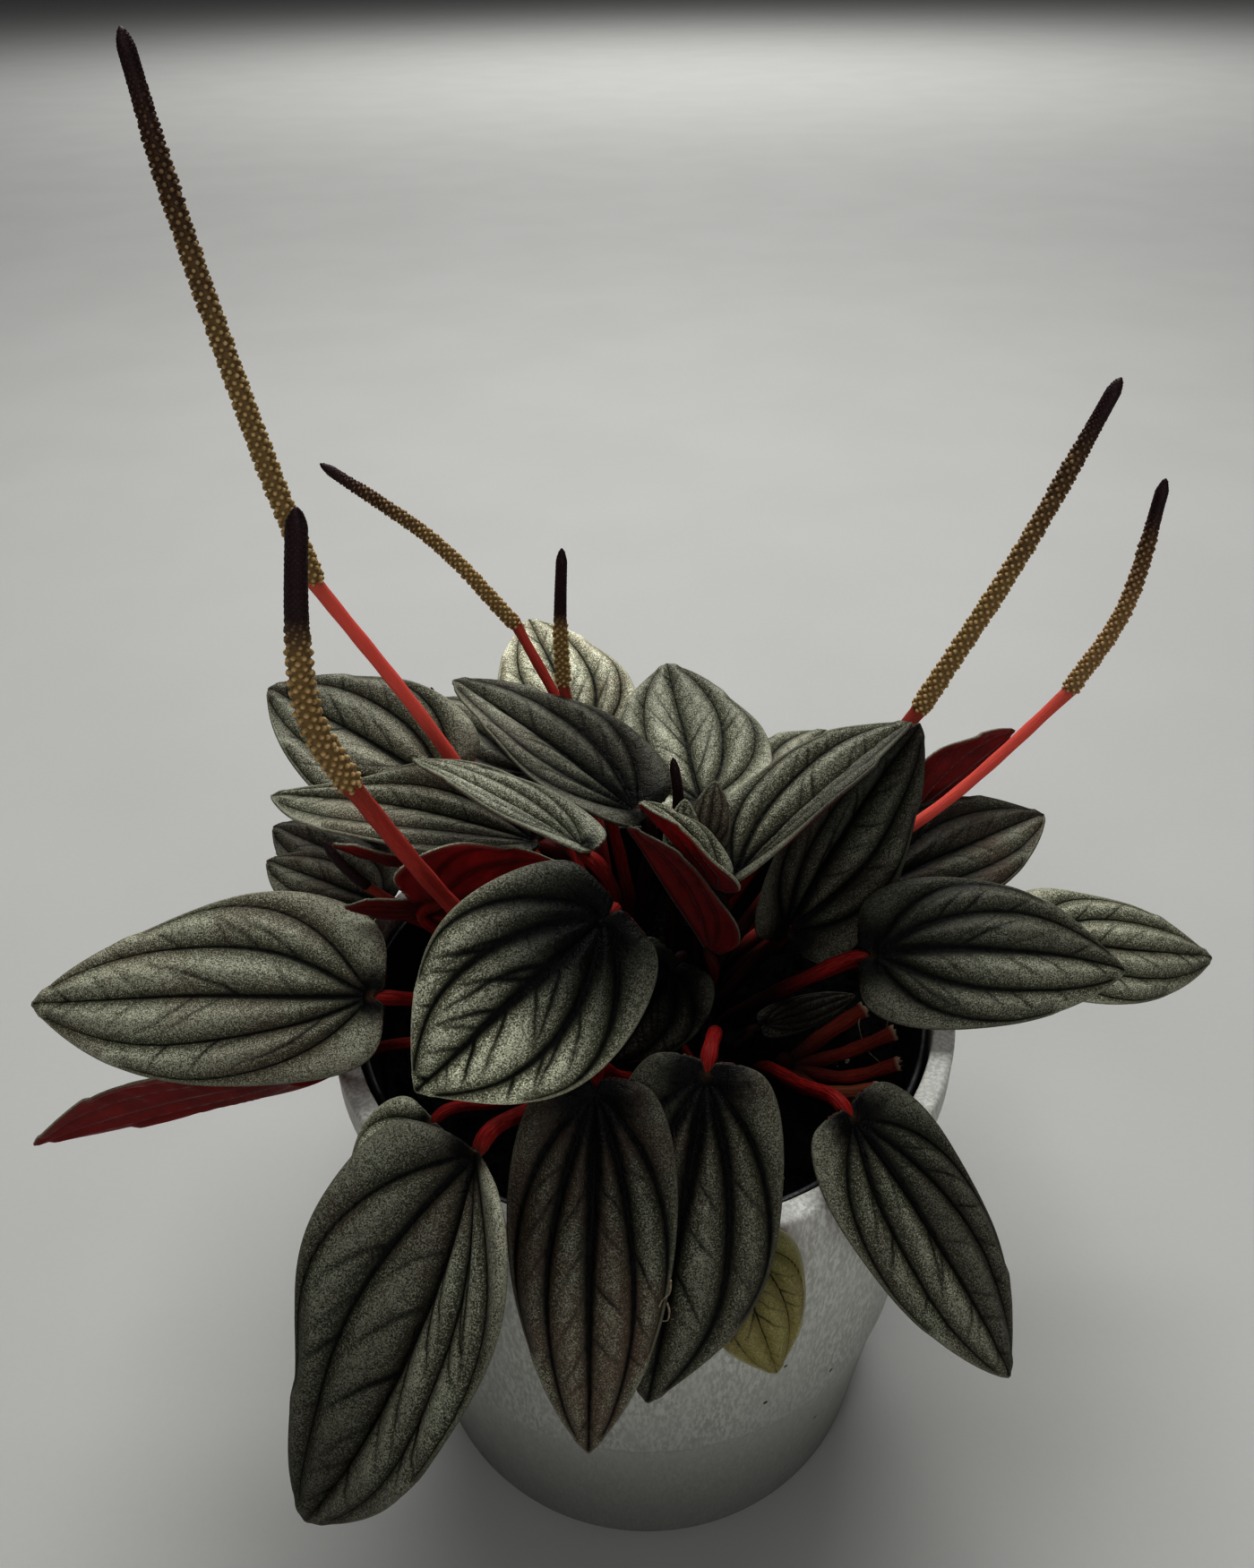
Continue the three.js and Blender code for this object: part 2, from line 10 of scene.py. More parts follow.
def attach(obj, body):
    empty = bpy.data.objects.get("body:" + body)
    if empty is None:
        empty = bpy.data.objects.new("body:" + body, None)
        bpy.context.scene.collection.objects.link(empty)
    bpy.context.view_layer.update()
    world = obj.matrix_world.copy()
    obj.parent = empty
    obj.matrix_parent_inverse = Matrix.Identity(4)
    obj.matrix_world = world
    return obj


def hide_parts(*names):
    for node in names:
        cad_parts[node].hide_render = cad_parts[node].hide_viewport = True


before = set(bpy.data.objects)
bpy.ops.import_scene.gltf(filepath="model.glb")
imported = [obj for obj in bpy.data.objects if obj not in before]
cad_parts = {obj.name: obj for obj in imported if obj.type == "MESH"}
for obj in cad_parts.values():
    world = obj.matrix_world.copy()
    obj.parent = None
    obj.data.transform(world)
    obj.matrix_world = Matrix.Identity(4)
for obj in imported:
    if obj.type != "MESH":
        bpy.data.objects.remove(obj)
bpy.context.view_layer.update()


# Camera ---------------------------------------------------------------
# The plant is seen from straight in front and from well above the rim, about 34 cm from it, so the
# pot narrows strongly towards the floor and the front leaves loom large.
PICTURE_HEIGHT = 1751
FOCAL_PIXELS = 1400
EYE = (-0.0024, -0.181, 0.2855)
LOOKS_DOWN = 34.4
LEANS = -1.0

camera_data = bpy.data.cameras.new("camera")
camera_data.sensor_width = 36
camera_data.lens = 36 * FOCAL_PIXELS / PICTURE_HEIGHT
camera_data.clip_start = 0.005
camera = bpy.data.objects.new("camera", camera_data)
pitch = Euler((math.radians(90 - LOOKS_DOWN), 0, 0)).to_matrix().to_4x4()
lean = Matrix.Rotation(math.radians(LEANS), 4, "Z")
camera.matrix_world = Matrix.Translation(EYE) @ pitch @ lean
bpy.context.scene.collection.objects.link(camera)
bpy.context.scene.camera = camera


# Cover pot ------------------------------------------------------------
# A plain round cover pot of grey stoneware: a flat rim on a thicker band, a faint step above the
# foot, and a matt wall with short upright streaks, pits and a few dark specks from the slip.
# Painted shade darkens the wall towards the floor.
RIM_RADIUS = 60
RIM_WIDTH = 4.2
RIM_HEIGHT = 9
POT_HEIGHT = 114
POT_WALL = 2.2
SHOULDER_RADIUS = 56.2
SHOULDER_HEIGHT = 46
FOOT_RADIUS = 55.2
BASE_RADIUS = 50.4
FLOOR = 3
POT_SEGMENTS = 192
POT_GREY = (0.54, 0.545, 0.505)
POT_DARK_GREY = (0.43, 0.435, 0.395)
POT_PALE_GREY = (0.66, 0.665, 0.62)
SPECK_BLACK = (0.035, 0.035, 0.03)
MM = 0.001


def add_piece(name, points, quads, looks, triangles=(), look_of_face=None, values=None):
    """An object from points in millimetres, with values as named numbers on its points."""
    mesh = bpy.data.meshes.new(name)
    quads = np.asarray(quads, int).reshape(-1, 4)
    triangles = np.asarray(triangles, int).reshape(-1, 3)
    corners = np.concatenate([quads.ravel(), triangles.ravel()])
    quad_starts = np.arange(len(quads)) * 4
    triangle_starts = quads.size + np.arange(len(triangles)) * 3
    starts = np.concatenate([quad_starts, triangle_starts])
    mesh.vertices.add(len(points))
    mesh.vertices.foreach_set("co", (np.asarray(points, float) * MM).ravel())
    mesh.loops.add(len(corners))
    mesh.loops.foreach_set("vertex_index", corners)
    mesh.polygons.add(len(starts))
    mesh.polygons.foreach_set("loop_start", starts)
    mesh.polygons.foreach_set("use_smooth", np.ones(len(starts), bool))
    for look in looks:
        mesh.materials.append(look)
    if look_of_face is not None:
        mesh.polygons.foreach_set("material_index", np.asarray(look_of_face, np.int32))
    mesh.update(calc_edges=True)
    for key, value in (values or {}).items():
        value = np.asarray(value, np.float32)
        spread = value.ndim == 2
        kept = mesh.attributes.new(key, "FLOAT_VECTOR" if spread else "FLOAT", "POINT")
        kept.data.foreach_set("vector" if spread else "value", value.ravel())
    made = bpy.data.objects.new(name, mesh)
    bpy.context.scene.collection.objects.link(made)
    return made


def ring_points(radius, height, sides):
    """Rings of points round an upright axis, one for each radius and height."""
    angle = np.arange(sides) * 2 * math.pi / sides
    radius, height = (np.asarray(value, float)[:, None] for value in (radius, height))
    rings = [radius * np.cos(angle), radius * np.sin(angle), height + 0 * angle]
    return np.stack(rings, -1).reshape(-1, 3)


def ring_faces(rings, sides):
    """Faces between rings, and fans that close them onto the two points that come after them."""
    row, column = np.meshgrid(np.arange(rings - 1), np.arange(sides), indexing="ij")
    here = (row * sides + column).ravel()
    beside = (row * sides + (column + 1) % sides).ravel()
    quads = np.stack([here, beside, beside + sides, here + sides], -1)
    first = np.arange(sides)
    following = (first + 1) % sides
    start = np.full(sides, rings * sides)
    last = (rings - 1) * sides
    foot = np.stack([start, following, first], -1)
    head = np.stack([start + 1, last + first, last + following], -1)
    return quads, np.concatenate([foot, head])


def turned(profile, segments):
    """Points and faces of a profile of (radius, height) turned round the pot's axis."""
    profile = np.asarray(profile, float)
    rings = ring_points(*profile[1:-1].T, segments)
    ends = [[0, 0, profile[0, 1]], [0, 0, profile[-1, 1]]]
    return np.concatenate([rings, ends]), *ring_faces(len(profile) - 2, segments)


def rounded(profile, radius=0.5, steps=4, divide=3.0):
    """A profile with its corners rounded and its long straights divided."""
    profile = [np.asarray(p, float) for p in profile]
    out = [profile[0]]
    for before, corner, after in zip(profile[:-2], profile[1:-1], profile[2:]):
        back, ahead = np.linalg.norm(before - corner), np.linalg.norm(after - corner)
        reach = min(radius, back * 0.4, ahead * 0.4)
        enter = corner + (before - corner) / back * reach
        leave = corner + (after - corner) / ahead * reach
        for share in np.linspace(0, 1, steps):
            out.append((1 - share) ** 2 * enter + 2 * share * (1 - share) * corner + share**2 * leave)
    out.append(profile[-1])
    fine = [out[0]]
    for a, b in zip(out[:-1], out[1:]):
        count = max(1, int(np.linalg.norm(b - a) / divide))
        fine += [a + (b - a) * k / count for k in range(1, count + 1)]
    return fine


class Look:
    """A material, with short ways to add the nodes of its finish."""

    def __init__(self, name):
        self.material = bpy.data.materials.new(name)
        self.material.use_nodes = True
        self.tree = self.material.node_tree
        self.tree.nodes.clear()
        self.shader = self.node("BsdfPrincipled")
        output = self.node("OutputMaterial")
        self.tree.links.new(self.shader.outputs[0], output.inputs["Surface"])
        self.place = self.node("TexCoord").outputs["Object"]

    def node(self, kind, **settings):
        made = self.tree.nodes.new("ShaderNode" + kind)
        for key, value in settings.items():
            setattr(made, key, value)
        return made

    def join(self, value, socket):
        if isinstance(value, bpy.types.NodeSocket):
            self.tree.links.new(value, socket)
        elif socket.type == "RGBA" and np.ndim(value):
            socket.default_value = (*value, 1)
        else:
            socket.default_value = value

    def set(self, **sockets):
        for key, value in sockets.items():
            self.join(value, self.shader.inputs[key.replace("_", " ")])

    def named(self, name, output="Fac"):
        return self.node("Attribute", attribute_name=name).outputs[output]

    def scaled(self, scale, place=None):
        made = self.node("VectorMath", operation="MULTIPLY")
        self.join(place or self.place, made.inputs[0])
        made.inputs[1].default_value = scale
        return made.outputs[0]

    def noise(self, scale, detail=2.0, rough=0.5, place=None):
        made = self.node("TexNoise")
        self.join(place or self.place, made.inputs["Vector"])
        made.inputs["Scale"].default_value = scale
        made.inputs["Detail"].default_value = detail
        made.inputs["Roughness"].default_value = rough
        return made.outputs["Fac"]

    def cells(self, scale, place=None, feature="F1"):
        made = self.node("TexVoronoi", feature=feature)
        self.join(place or self.place, made.inputs["Vector"])
        made.inputs["Scale"].default_value = scale
        return made.outputs["Distance"]

    def maths(self, operation, a, b):
        made = self.node("Math", operation=operation)
        self.join(a, made.inputs[0])
        self.join(b, made.inputs[1])
        return made.outputs[0]

    def times(self, a, b):
        return self.maths("MULTIPLY", a, b)

    def plus(self, a, b):
        return self.maths("ADD", a, b)

    def dimmed(self, colour, share):
        made = self.node("VectorMath", operation="SCALE")
        self.join(colour, made.inputs[0])
        self.join(share, made.inputs["Scale"])
        return made.outputs[0]

    def between(self, value, low, high, to_low=0.0, to_high=1.0):
        made = self.node("MapRange", interpolation_type="SMOOTHSTEP")
        self.join(value, made.inputs["Value"])
        for key, end in (("From Min", low), ("From Max", high), ("To Min", to_low), ("To Max", to_high)):
            made.inputs[key].default_value = end
        return made.outputs["Result"]

    def mix(self, share, a, b):
        made = self.node("Mix", data_type="RGBA")
        for key, value in ((0, share), (6, a), (7, b)):
            self.join(value, made.inputs[key])
        return made.outputs[2]

    def bump(self, height, strength, depth):
        made = self.node("Bump")
        made.inputs["Strength"].default_value = strength
        made.inputs["Distance"].default_value = depth * MM
        self.join(height, made.inputs["Height"])
        return made.outputs["Normal"]


under_rim = RIM_RADIUS - 1.2
pot_profile = [
    (0, 0),
    (BASE_RADIUS - 3, 0),
    (BASE_RADIUS, 2.5),
    (FOOT_RADIUS - 0.5, SHOULDER_HEIGHT - 6),
    (FOOT_RADIUS, SHOULDER_HEIGHT - 2),
    (SHOULDER_RADIUS, SHOULDER_HEIGHT),
    (under_rim, POT_HEIGHT - RIM_HEIGHT),
    (RIM_RADIUS, POT_HEIGHT - RIM_HEIGHT + 1),
    (RIM_RADIUS, POT_HEIGHT - 0.6),
    (RIM_RADIUS - 0.6, POT_HEIGHT),
    (RIM_RADIUS - RIM_WIDTH, POT_HEIGHT),
    (FOOT_RADIUS - POT_WALL, SHOULDER_HEIGHT),
    (BASE_RADIUS - POT_WALL, FLOOR),
    (0, FLOOR),
]

stoneware = Look("grey_stoneware")
streaks = stoneware.noise(1500, 3, 0.6, stoneware.scaled((1, 1, 0.3)))
mottle = stoneware.noise(130, 4, 0.6, stoneware.scaled((1, 1, 0.45)))
grain = stoneware.noise(2600, 2, 0.6)
pits = stoneware.between(stoneware.cells(520, stoneware.scaled((1, 1, 0.4))), 0.1, 0.32)
height_up = stoneware.node("SeparateXYZ")
stoneware.join(stoneware.place, height_up.inputs[0])
above_foot = stoneware.between(height_up.outputs["Z"], 0.040, 0.050, 0.35, 1.0)
streak_tone = stoneware.between(streaks, 0.38, 0.64)
pot_colour = stoneware.mix(streak_tone, POT_DARK_GREY, POT_PALE_GREY)
pot_colour = stoneware.mix(above_foot, POT_GREY, pot_colour)
pot_colour = stoneware.mix(stoneware.between(mottle, 0.3, 0.75, 0.0, 0.6), pot_colour, POT_GREY)
# Painted shade: the colour is darkened steadily from near the rim down to a third at the foot.
painted_foot_shade = stoneware.between(height_up.outputs["Z"], 0.0, 0.1, 0.33, 1.0)
pot_colour = stoneware.dimmed(pot_colour, painted_foot_shade)
specks = stoneware.between(stoneware.cells(95), 0.035, 0.06)
pot_colour = stoneware.mix(specks, SPECK_BLACK, pot_colour)
pot_relief = stoneware.plus(stoneware.times(streaks, above_foot), stoneware.times(grain, 0.4))
pot_relief = stoneware.plus(pot_relief, stoneware.times(pits, 0.5))
stoneware.set(
    Base_Color=pot_colour,
    Roughness=stoneware.between(mottle, 0.3, 0.7, 0.42, 0.58),
    Normal=stoneware.bump(pot_relief, 0.55, 0.22),
)

points, quads, caps = turned(rounded(pot_profile), POT_SEGMENTS)
cover_pot = add_piece("cover_pot_stoneware", points, quads, [stoneware.material], caps)
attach(cover_pot, "root")
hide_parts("cover_pot")


# Grower's pot ---------------------------------------------------------
# The thin black plastic pot that the plant was grown in stands inside the cover pot. It is moulded,
# with a rolled lip and faint upright scuffs, and dusty in patches with dried soil.
GAP = 0.35
GROWER_RADIUS = 55
GROWER_TOP = 112.4
GROWER_BASE_RADIUS = 42
GROWER_WALL = 1.2
GROWER_BLACK = (0.006, 0.006, 0.006)
GROWER_DUST = (0.02, 0.018, 0.015)

grower_bottom = FLOOR + GAP


def grower_radius(z):
    """Outside radius of the grower's pot at a height."""
    share = (z - grower_bottom) / (GROWER_TOP - grower_bottom)
    return GROWER_BASE_RADIUS + (GROWER_RADIUS - GROWER_BASE_RADIUS) * share


black_plastic = Look("black_pot_plastic")
dust = black_plastic.between(black_plastic.noise(260, 5, 0.65), 0.5, 0.8)
scuffs = black_plastic.noise(1500, 3, 0.6, black_plastic.scaled((1, 1, 0.3)))
black_plastic.set(
    Base_Color=black_plastic.mix(dust, GROWER_BLACK, GROWER_DUST),
    Roughness=black_plastic.between(scuffs, 0.3, 0.7, 0.38, 0.62),
    Normal=black_plastic.bump(scuffs, 0.3, 0.15),
)

grower_profile = [
    (0, grower_bottom),
    (grower_radius(grower_bottom), grower_bottom),
    (grower_radius(GROWER_TOP), GROWER_TOP),
    (grower_radius(GROWER_TOP) - GROWER_WALL, GROWER_TOP),
    (grower_radius(grower_bottom) - GROWER_WALL, grower_bottom + GROWER_WALL),
    (0, grower_bottom + GROWER_WALL),
]
points, quads, caps = turned(rounded(grower_profile, 0.45), POT_SEGMENTS)
grower_pot = add_piece("grower_pot_plastic", points, quads, [black_plastic.material], caps)
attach(grower_pot, "root")
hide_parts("grower_pot")


# Soil -----------------------------------------------------------------
# Moist black potting soil of peat and fine bark, filled to a finger's width below the rim. Loose
# crumbs lie on it, with a few white grains of perlite pushed up by watering.
SOIL_TOP = 100
SOIL_RELIEF = 1.5
CRUMBS = 1500
CRUMB_SIZE = (0.35, 1.5)
SOIL_BLACK = (0.003, 0.0027, 0.0025)
SOIL_BROWN = (0.010, 0.007, 0.005)
PERLITE_WHITE = (0.6, 0.59, 0.55)
PERLITE_SHADE = (0.25, 0.22, 0.18)
PERLITE_PLACES = [(32, -14), (34.5, -12), (38, -9), (40, -8.5), (44, -10), (38.5, -20), (24, -36)]
PERLITE_PLACES += [(-20, -38), (41, 8), (-34, -22), (8, 44), (-14, 40), (-41, 10), (29, 33)]

soil_look = Look("moist_potting_soil")
clods = soil_look.noise(420, 6, 0.7)
bark = soil_look.between(soil_look.noise(150, 3, 0.5), 0.5, 0.7)
soil_look.set(
    Base_Color=soil_look.mix(bark, SOIL_BLACK, SOIL_BROWN),
    Roughness=soil_look.between(clods, 0.35, 0.65, 0.55, 0.95),
    Normal=soil_look.bump(clods, 1.0, 0.8),
    Specular_IOR_Level=0.12,
)


def soil_height(x, y):
    """The lumpy height of the soil's surface."""
    slow = np.sin(0.31 * x + 1) * np.cos(0.27 * y) + 0.5 * np.sin(0.7 * x - 0.6 * y)
    quick = np.sin(1.9 * x + 0.8 * y) * np.sin(1.6 * y - 0.7 * x + 2)
    quick = quick + 0.6 * np.sin(3.7 * x) * np.sin(3.1 * y + 1)
    calm = np.clip((50.5 - np.hypot(x, y)) / 4, 0, 1)
    return SOIL_TOP + SOIL_RELIEF * calm * (0.5 * slow + 0.28 * quick)


soil_inside = grower_radius(SOIL_TOP) - GROWER_WALL - GAP
soil_floor = grower_bottom + GROWER_WALL + GAP
soil_profile = [(0, soil_floor), (grower_radius(soil_floor) - GROWER_WALL - GAP, soil_floor)]
soil_profile += [(soil_inside, SOIL_TOP - 0.4)]
soil_profile += [(soil_inside * share, SOIL_TOP) for share in np.linspace(0.995, 0.012, 70)]
soil_profile += [(0, SOIL_TOP)]
points, quads, caps = turned(soil_profile, 160)
is_top = points[:, 2] > SOIL_TOP - 0.1
points[is_top, 2] = soil_height(points[is_top, 0], points[is_top, 1])
soil = add_piece("soil_bed", points, quads, [soil_look.material], caps)
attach(soil, "root")
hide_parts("soil")


def repeated(faces, copies, size):
    """The faces of many copies of one shape that has that many points."""
    step = (np.arange(copies) * size)[:, None, None]
    return (faces[None] + step).reshape(-1, faces.shape[1])


def pebbles(places, sizes, seed, rough=0.3):
    """Points and faces of many small lumps, each a ball of six sides pushed out of round."""
    chance = np.random.default_rng(seed)
    levels = np.array([-0.75, 0.0, 0.75])
    ball = ring_points(np.sqrt(1 - levels**2), levels, 6)
    ball = np.concatenate([ball, [[0, 0, -1.0], [0, 0, 1.0]]])
    points = []
    for place, size in zip(places, sizes):
        shape = ball * (1 + rough * chance.normal(size=(len(ball), 1))) * chance.uniform(0.6, 1.2, 3)
        turn = Euler(chance.uniform(0, 6.3, 3)).to_matrix()
        points.append(shape @ np.array(turn) * size + place)
    faces = [repeated(kind, len(points), len(ball)) for kind in ring_faces(3, 6)]
    return np.concatenate(points), *faces


chance = np.random.default_rng(7)
spread = soil_inside * np.sqrt(chance.uniform(0, 0.94, CRUMBS))
angle = chance.uniform(0, 2 * math.pi, CRUMBS)
x, y = spread * np.cos(angle), spread * np.sin(angle)
sizes = CRUMB_SIZE[0] + (CRUMB_SIZE[1] - CRUMB_SIZE[0]) * chance.uniform(0, 1, CRUMBS) ** 3
places = np.stack([x, y, soil_height(x, y) + 0.25 * sizes], -1)
points, quads, caps = pebbles(places, sizes, 8)
crumbs = add_piece("soil_crumbs", points, quads, [soil_look.material], caps)
crumbs.data.polygons.foreach_set("use_smooth", np.zeros(len(crumbs.data.polygons), bool))
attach(crumbs, "root")

perlite_look = Look("white_perlite")
froth = perlite_look.noise(1800, 3, 0.6)
perlite_look.set(
    Base_Color=perlite_look.mix(perlite_look.between(froth, 0.3, 0.6), PERLITE_SHADE, PERLITE_WHITE),
    Roughness=perlite_look.between(froth, 0.3, 0.7, 0.7, 0.95),
    Normal=perlite_look.bump(froth, 0.8, 0.3),
)
grains = np.array(PERLITE_PLACES, float)
sizes = np.linspace(0.75, 0.4, len(grains))
heights = soil_height(grains[:, 0], grains[:, 1]) + 0.35 * sizes
points, quads, caps = pebbles(np.column_stack([grains, heights]), sizes, 3, 0.18)
perlite = add_piece("perlite_grains", points, quads, [perlite_look.material], caps)
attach(perlite, "root")


# Cut stalks -----------------------------------------------------------
# Old leaf stalks were cut off above a short woody stem. The stubs are still red, ribbed as they
# dry, and each ends in a pale torn face; dry fibres and a thin dead stalk lie beside them.
# Painted shade darkens the stem, and the stubs towards it, almost to black.
STEM_AT = (27, -13)
STEM_RADIUS = 2.6
STEM_TOP = 106
STEM_SIDES = 16
STUB_SIDES = 18
HOLE_DEPTH = 9
STUBS = [
    {"via": (34, -8, 106), "end": (43.5, -3, 109), "radius": 1.5, "pale": 0.3},
    {"via": (38, -11.5, 105.5), "end": (48.5, -9, 108.5), "radius": 1.3, "pale": 0.25},
    {"via": (38, -17, 105), "end": (48, -17, 108.5), "radius": 1.3, "pale": 0.2},
    {"via": (33, -21, 105.5), "end": (43, -22.5, 107.5), "radius": 1.4, "pale": 0.6},
]
STALK_RED = (0.28, 0.014, 0.013)
STALK_DEEP_RED = (0.13, 0.006, 0.006)
STALK_PINK = (0.38, 0.07, 0.05)
# Painted light: the salmon a stalk turns where light shines through it.
STALK_GLOW_SALMON = (0.85, 0.17, 0.13)
STALK_TAN = (0.20, 0.10, 0.05)
CUT_CREAM = (0.42, 0.33, 0.24)
# Painted shade: the near black that stalks are darkened to deep in the crown.
CROWN_SHADE_BLACK = (0.004, 0.0012, 0.0012)
CROWN_AT = (6, 2)
CROWN_TOP = 168
CROWN_FADE = 12
DRY_STRAW = (0.38, 0.33, 0.25)
DRY_BROWN = (0.2, 0.15, 0.1)


def smooth_line(points, count):
    """Evenly spaced points on a smooth curve through the given ones, and how far along each is."""
    points = np.asarray(points, float)
    whole = np.concatenate([[2 * points[0] - points[1]], points, [2 * points[-1] - points[-2]]])
    share = np.linspace(0, 1, 40)[:, None]
    fine = []
    for a, b, c, d in zip(whole[:-3], whole[1:-2], whole[2:-1], whole[3:]):
        first, middle, last = (max(np.linalg.norm(q - p) ** 0.5, 1e-4) for p, q in ((a, b), (b, c), (c, d)))
        leave = ((b - a) / first - (c - a) / (first + middle) + (c - b) / middle) * middle
        arrive = ((c - b) / middle - (d - b) / (middle + last) + (d - c) / last) * middle
        curve = b + share * leave + share**2 * (3 * c - 3 * b - 2 * leave - arrive)
        fine.append(curve + share**3 * (2 * b - 2 * c + leave + arrive))
    fine = np.concatenate(fine)
    keep = np.concatenate([[True], np.linalg.norm(np.diff(fine, axis=0), axis=1) > 1e-6])
    fine = fine[keep]
    run = np.concatenate([[0], np.cumsum(np.linalg.norm(np.diff(fine, axis=0), axis=1))])
    want = np.linspace(0, run[-1], count)
    return np.stack([np.interp(want, run, fine[:, k]) for k in range(3)], -1), want


def unit(v):
    """The same directions, one long."""
    return v / np.linalg.norm(v, axis=-1, keepdims=True)


def line_frames(line):
    """Two directions square to a line at each of its points, carried along it without twisting."""
    forward = unit(np.gradient(line, axis=0))
    across = np.cross(forward[0], (0.31, 0.87, 0.4))
    sideways = np.empty_like(line)
    for k, heading in enumerate(forward):
        across = unit(across - heading * (across @ heading))
        sideways[k] = across
    return forward, sideways, np.cross(forward, sideways)


def tube(line, radius, sides):
    """Points and faces of a tube, closed at its ends; radius is one for each ring, or ring and side."""
    rings = len(line)
    forward, sideways, upward = line_frames(line)
    angle = np.arange(sides) * 2 * math.pi / sides
    radius = np.broadcast_to(np.asarray(radius, float).reshape(rings, -1), (rings, sides))
    round_about = sideways[:, None] * np.cos(angle)[:, None] + upward[:, None] * np.sin(angle)[:, None]
    points = (line[:, None] + round_about * radius[..., None]).reshape(-1, 3)
    foot_end = line[0] - forward[0] * 0.2 * radius[0, 0]
    ends = np.stack([foot_end, line[-1] + forward[-1] * 0.3 * radius[-1, 0]])
    return np.concatenate([points, ends]), *ring_faces(rings, sides)


def on_tube(value, sides, foot, end):
    """A value for each ring of a tube, put on its points and its two ends."""
    return np.concatenate([np.repeat(value, sides), [foot, end]])


def stalk_values(run, sides, radius, shift, deep, pale=0.0, cut=0.0, rosy=0.0):
    """What the stalk's finish reads on each point: its place round and along the stalk, how deep
    it lies in the crown for its painted shade, how far it is withered pale or cut open, and how far
    it is painted salmon as a glow of light shining through it."""
    place = ring_points(np.full(len(run), radius), run, sides) + (shift, 0, 0)
    values = {"stalk_place": np.concatenate([place, place[[0, -1]]])}
    for key, value in (("deep", deep), ("pale", pale), ("cut", cut), ("rosy", rosy)):
        values["stalk_" + key] = value + np.zeros(len(place) + 2)
    return values


def merged(parts):
    """Several (points, quads, triangles, values) as one piece."""
    points, quads, triangles, values, count = [], [], [], {}, 0
    for part_points, part_quads, part_triangles, part_values in parts:
        points.append(part_points)
        quads.append(np.asarray(part_quads, int).reshape(-1, 4) + count)
        triangles.append(np.asarray(part_triangles, int).reshape(-1, 3) + count)
        for key, value in part_values.items():
            values.setdefault(key, []).append(value)
        count += len(part_points)
    joined = {key: np.concatenate(value) for key, value in values.items()}
    return np.concatenate(points), np.concatenate(quads), np.concatenate(triangles), joined


def painted_crown_shade(points, near=20, far=30, centre=CROWN_AT):
    """How deep points lie among the old stalks of the crown, where painted shade darkens them almost to
    black.
    """
    out = np.hypot(points[:, 0] - centre[0], points[:, 1] - centre[1])
    sunk = np.clip((far - out) / (far - near), 0, 1)
    return sunk * np.clip((CROWN_TOP - points[:, 2]) / CROWN_FADE, 0, 1)


def stalk_look(name):
    """Juicy red stalk: paler lengthwise streaks, small pale dots, and pink or cream where told. The
    pink is a salmon glow painted for light shining through, and painted shade darkens the stalk
    almost to black deep in the crown.
    """
    look = Look(name)
    along = look.named("stalk_place", "Vector")
    ribs = look.noise(2.2, 2, 0.5, look.scaled((1.3, 1.3, 0.09), along))
    fine = look.noise(6.0, 3, 0.6, look.scaled((1, 1, 0.12), along))
    dots = look.between(look.cells(1.15, look.scaled((1.2, 1.2, 0.8), along)), 0.10, 0.2)
    colour = look.mix(look.between(ribs, 0.35, 0.7), STALK_DEEP_RED, STALK_RED)
    colour = look.mix(look.between(fine, 0.45, 0.75, 0.0, 0.6), colour, STALK_PINK)
    colour = look.mix(look.times(look.maths("SUBTRACT", 1.0, dots), 0.35), colour, STALK_PINK)
    # Painted light: a salmon glow where told, for light shining through the stalk.
    colour = look.mix(look.named("stalk_rosy"), colour, STALK_GLOW_SALMON)
    colour = look.mix(look.named("stalk_pale"), colour, STALK_TAN)
    colour = look.mix(look.named("stalk_cut"), colour, CUT_CREAM)
    # Painted shade: deep in the crown the stalk is darkened almost to black.
    colour = look.mix(look.times(look.named("stalk_deep"), 0.93), colour, CROWN_SHADE_BLACK)
    look.set(
        Base_Color=colour,
        Roughness=look.between(fine, 0.3, 0.7, 0.45, 0.62),
        Subsurface_Weight=0.15,
        Subsurface_Scale=0.001,
        Subsurface_Radius=(1.0, 0.25, 0.2),
        Specular_IOR_Level=0.15,
        Normal=look.bump(look.plus(ribs, look.times(fine, 0.5)), 0.8, 0.3),
    )
    return look.material


red_stalk = stalk_look("red_stalk")
stem_foot = np.array([*STEM_AT, SOIL_TOP - HOLE_DEPTH + GAP])
stem_top = np.array([*STEM_AT, STEM_TOP])
line, run = smooth_line([stem_foot, (stem_foot + stem_top) / 2, stem_top], 24)
chance = np.random.default_rng(11)
knots = 1 + 0.10 * np.sin(run * 1.3)[:, None] + 0.05 * chance.normal(size=(24, STEM_SIDES))
girth = STEM_RADIUS * (1 - 0.3 * run / run[-1])[:, None] * knots
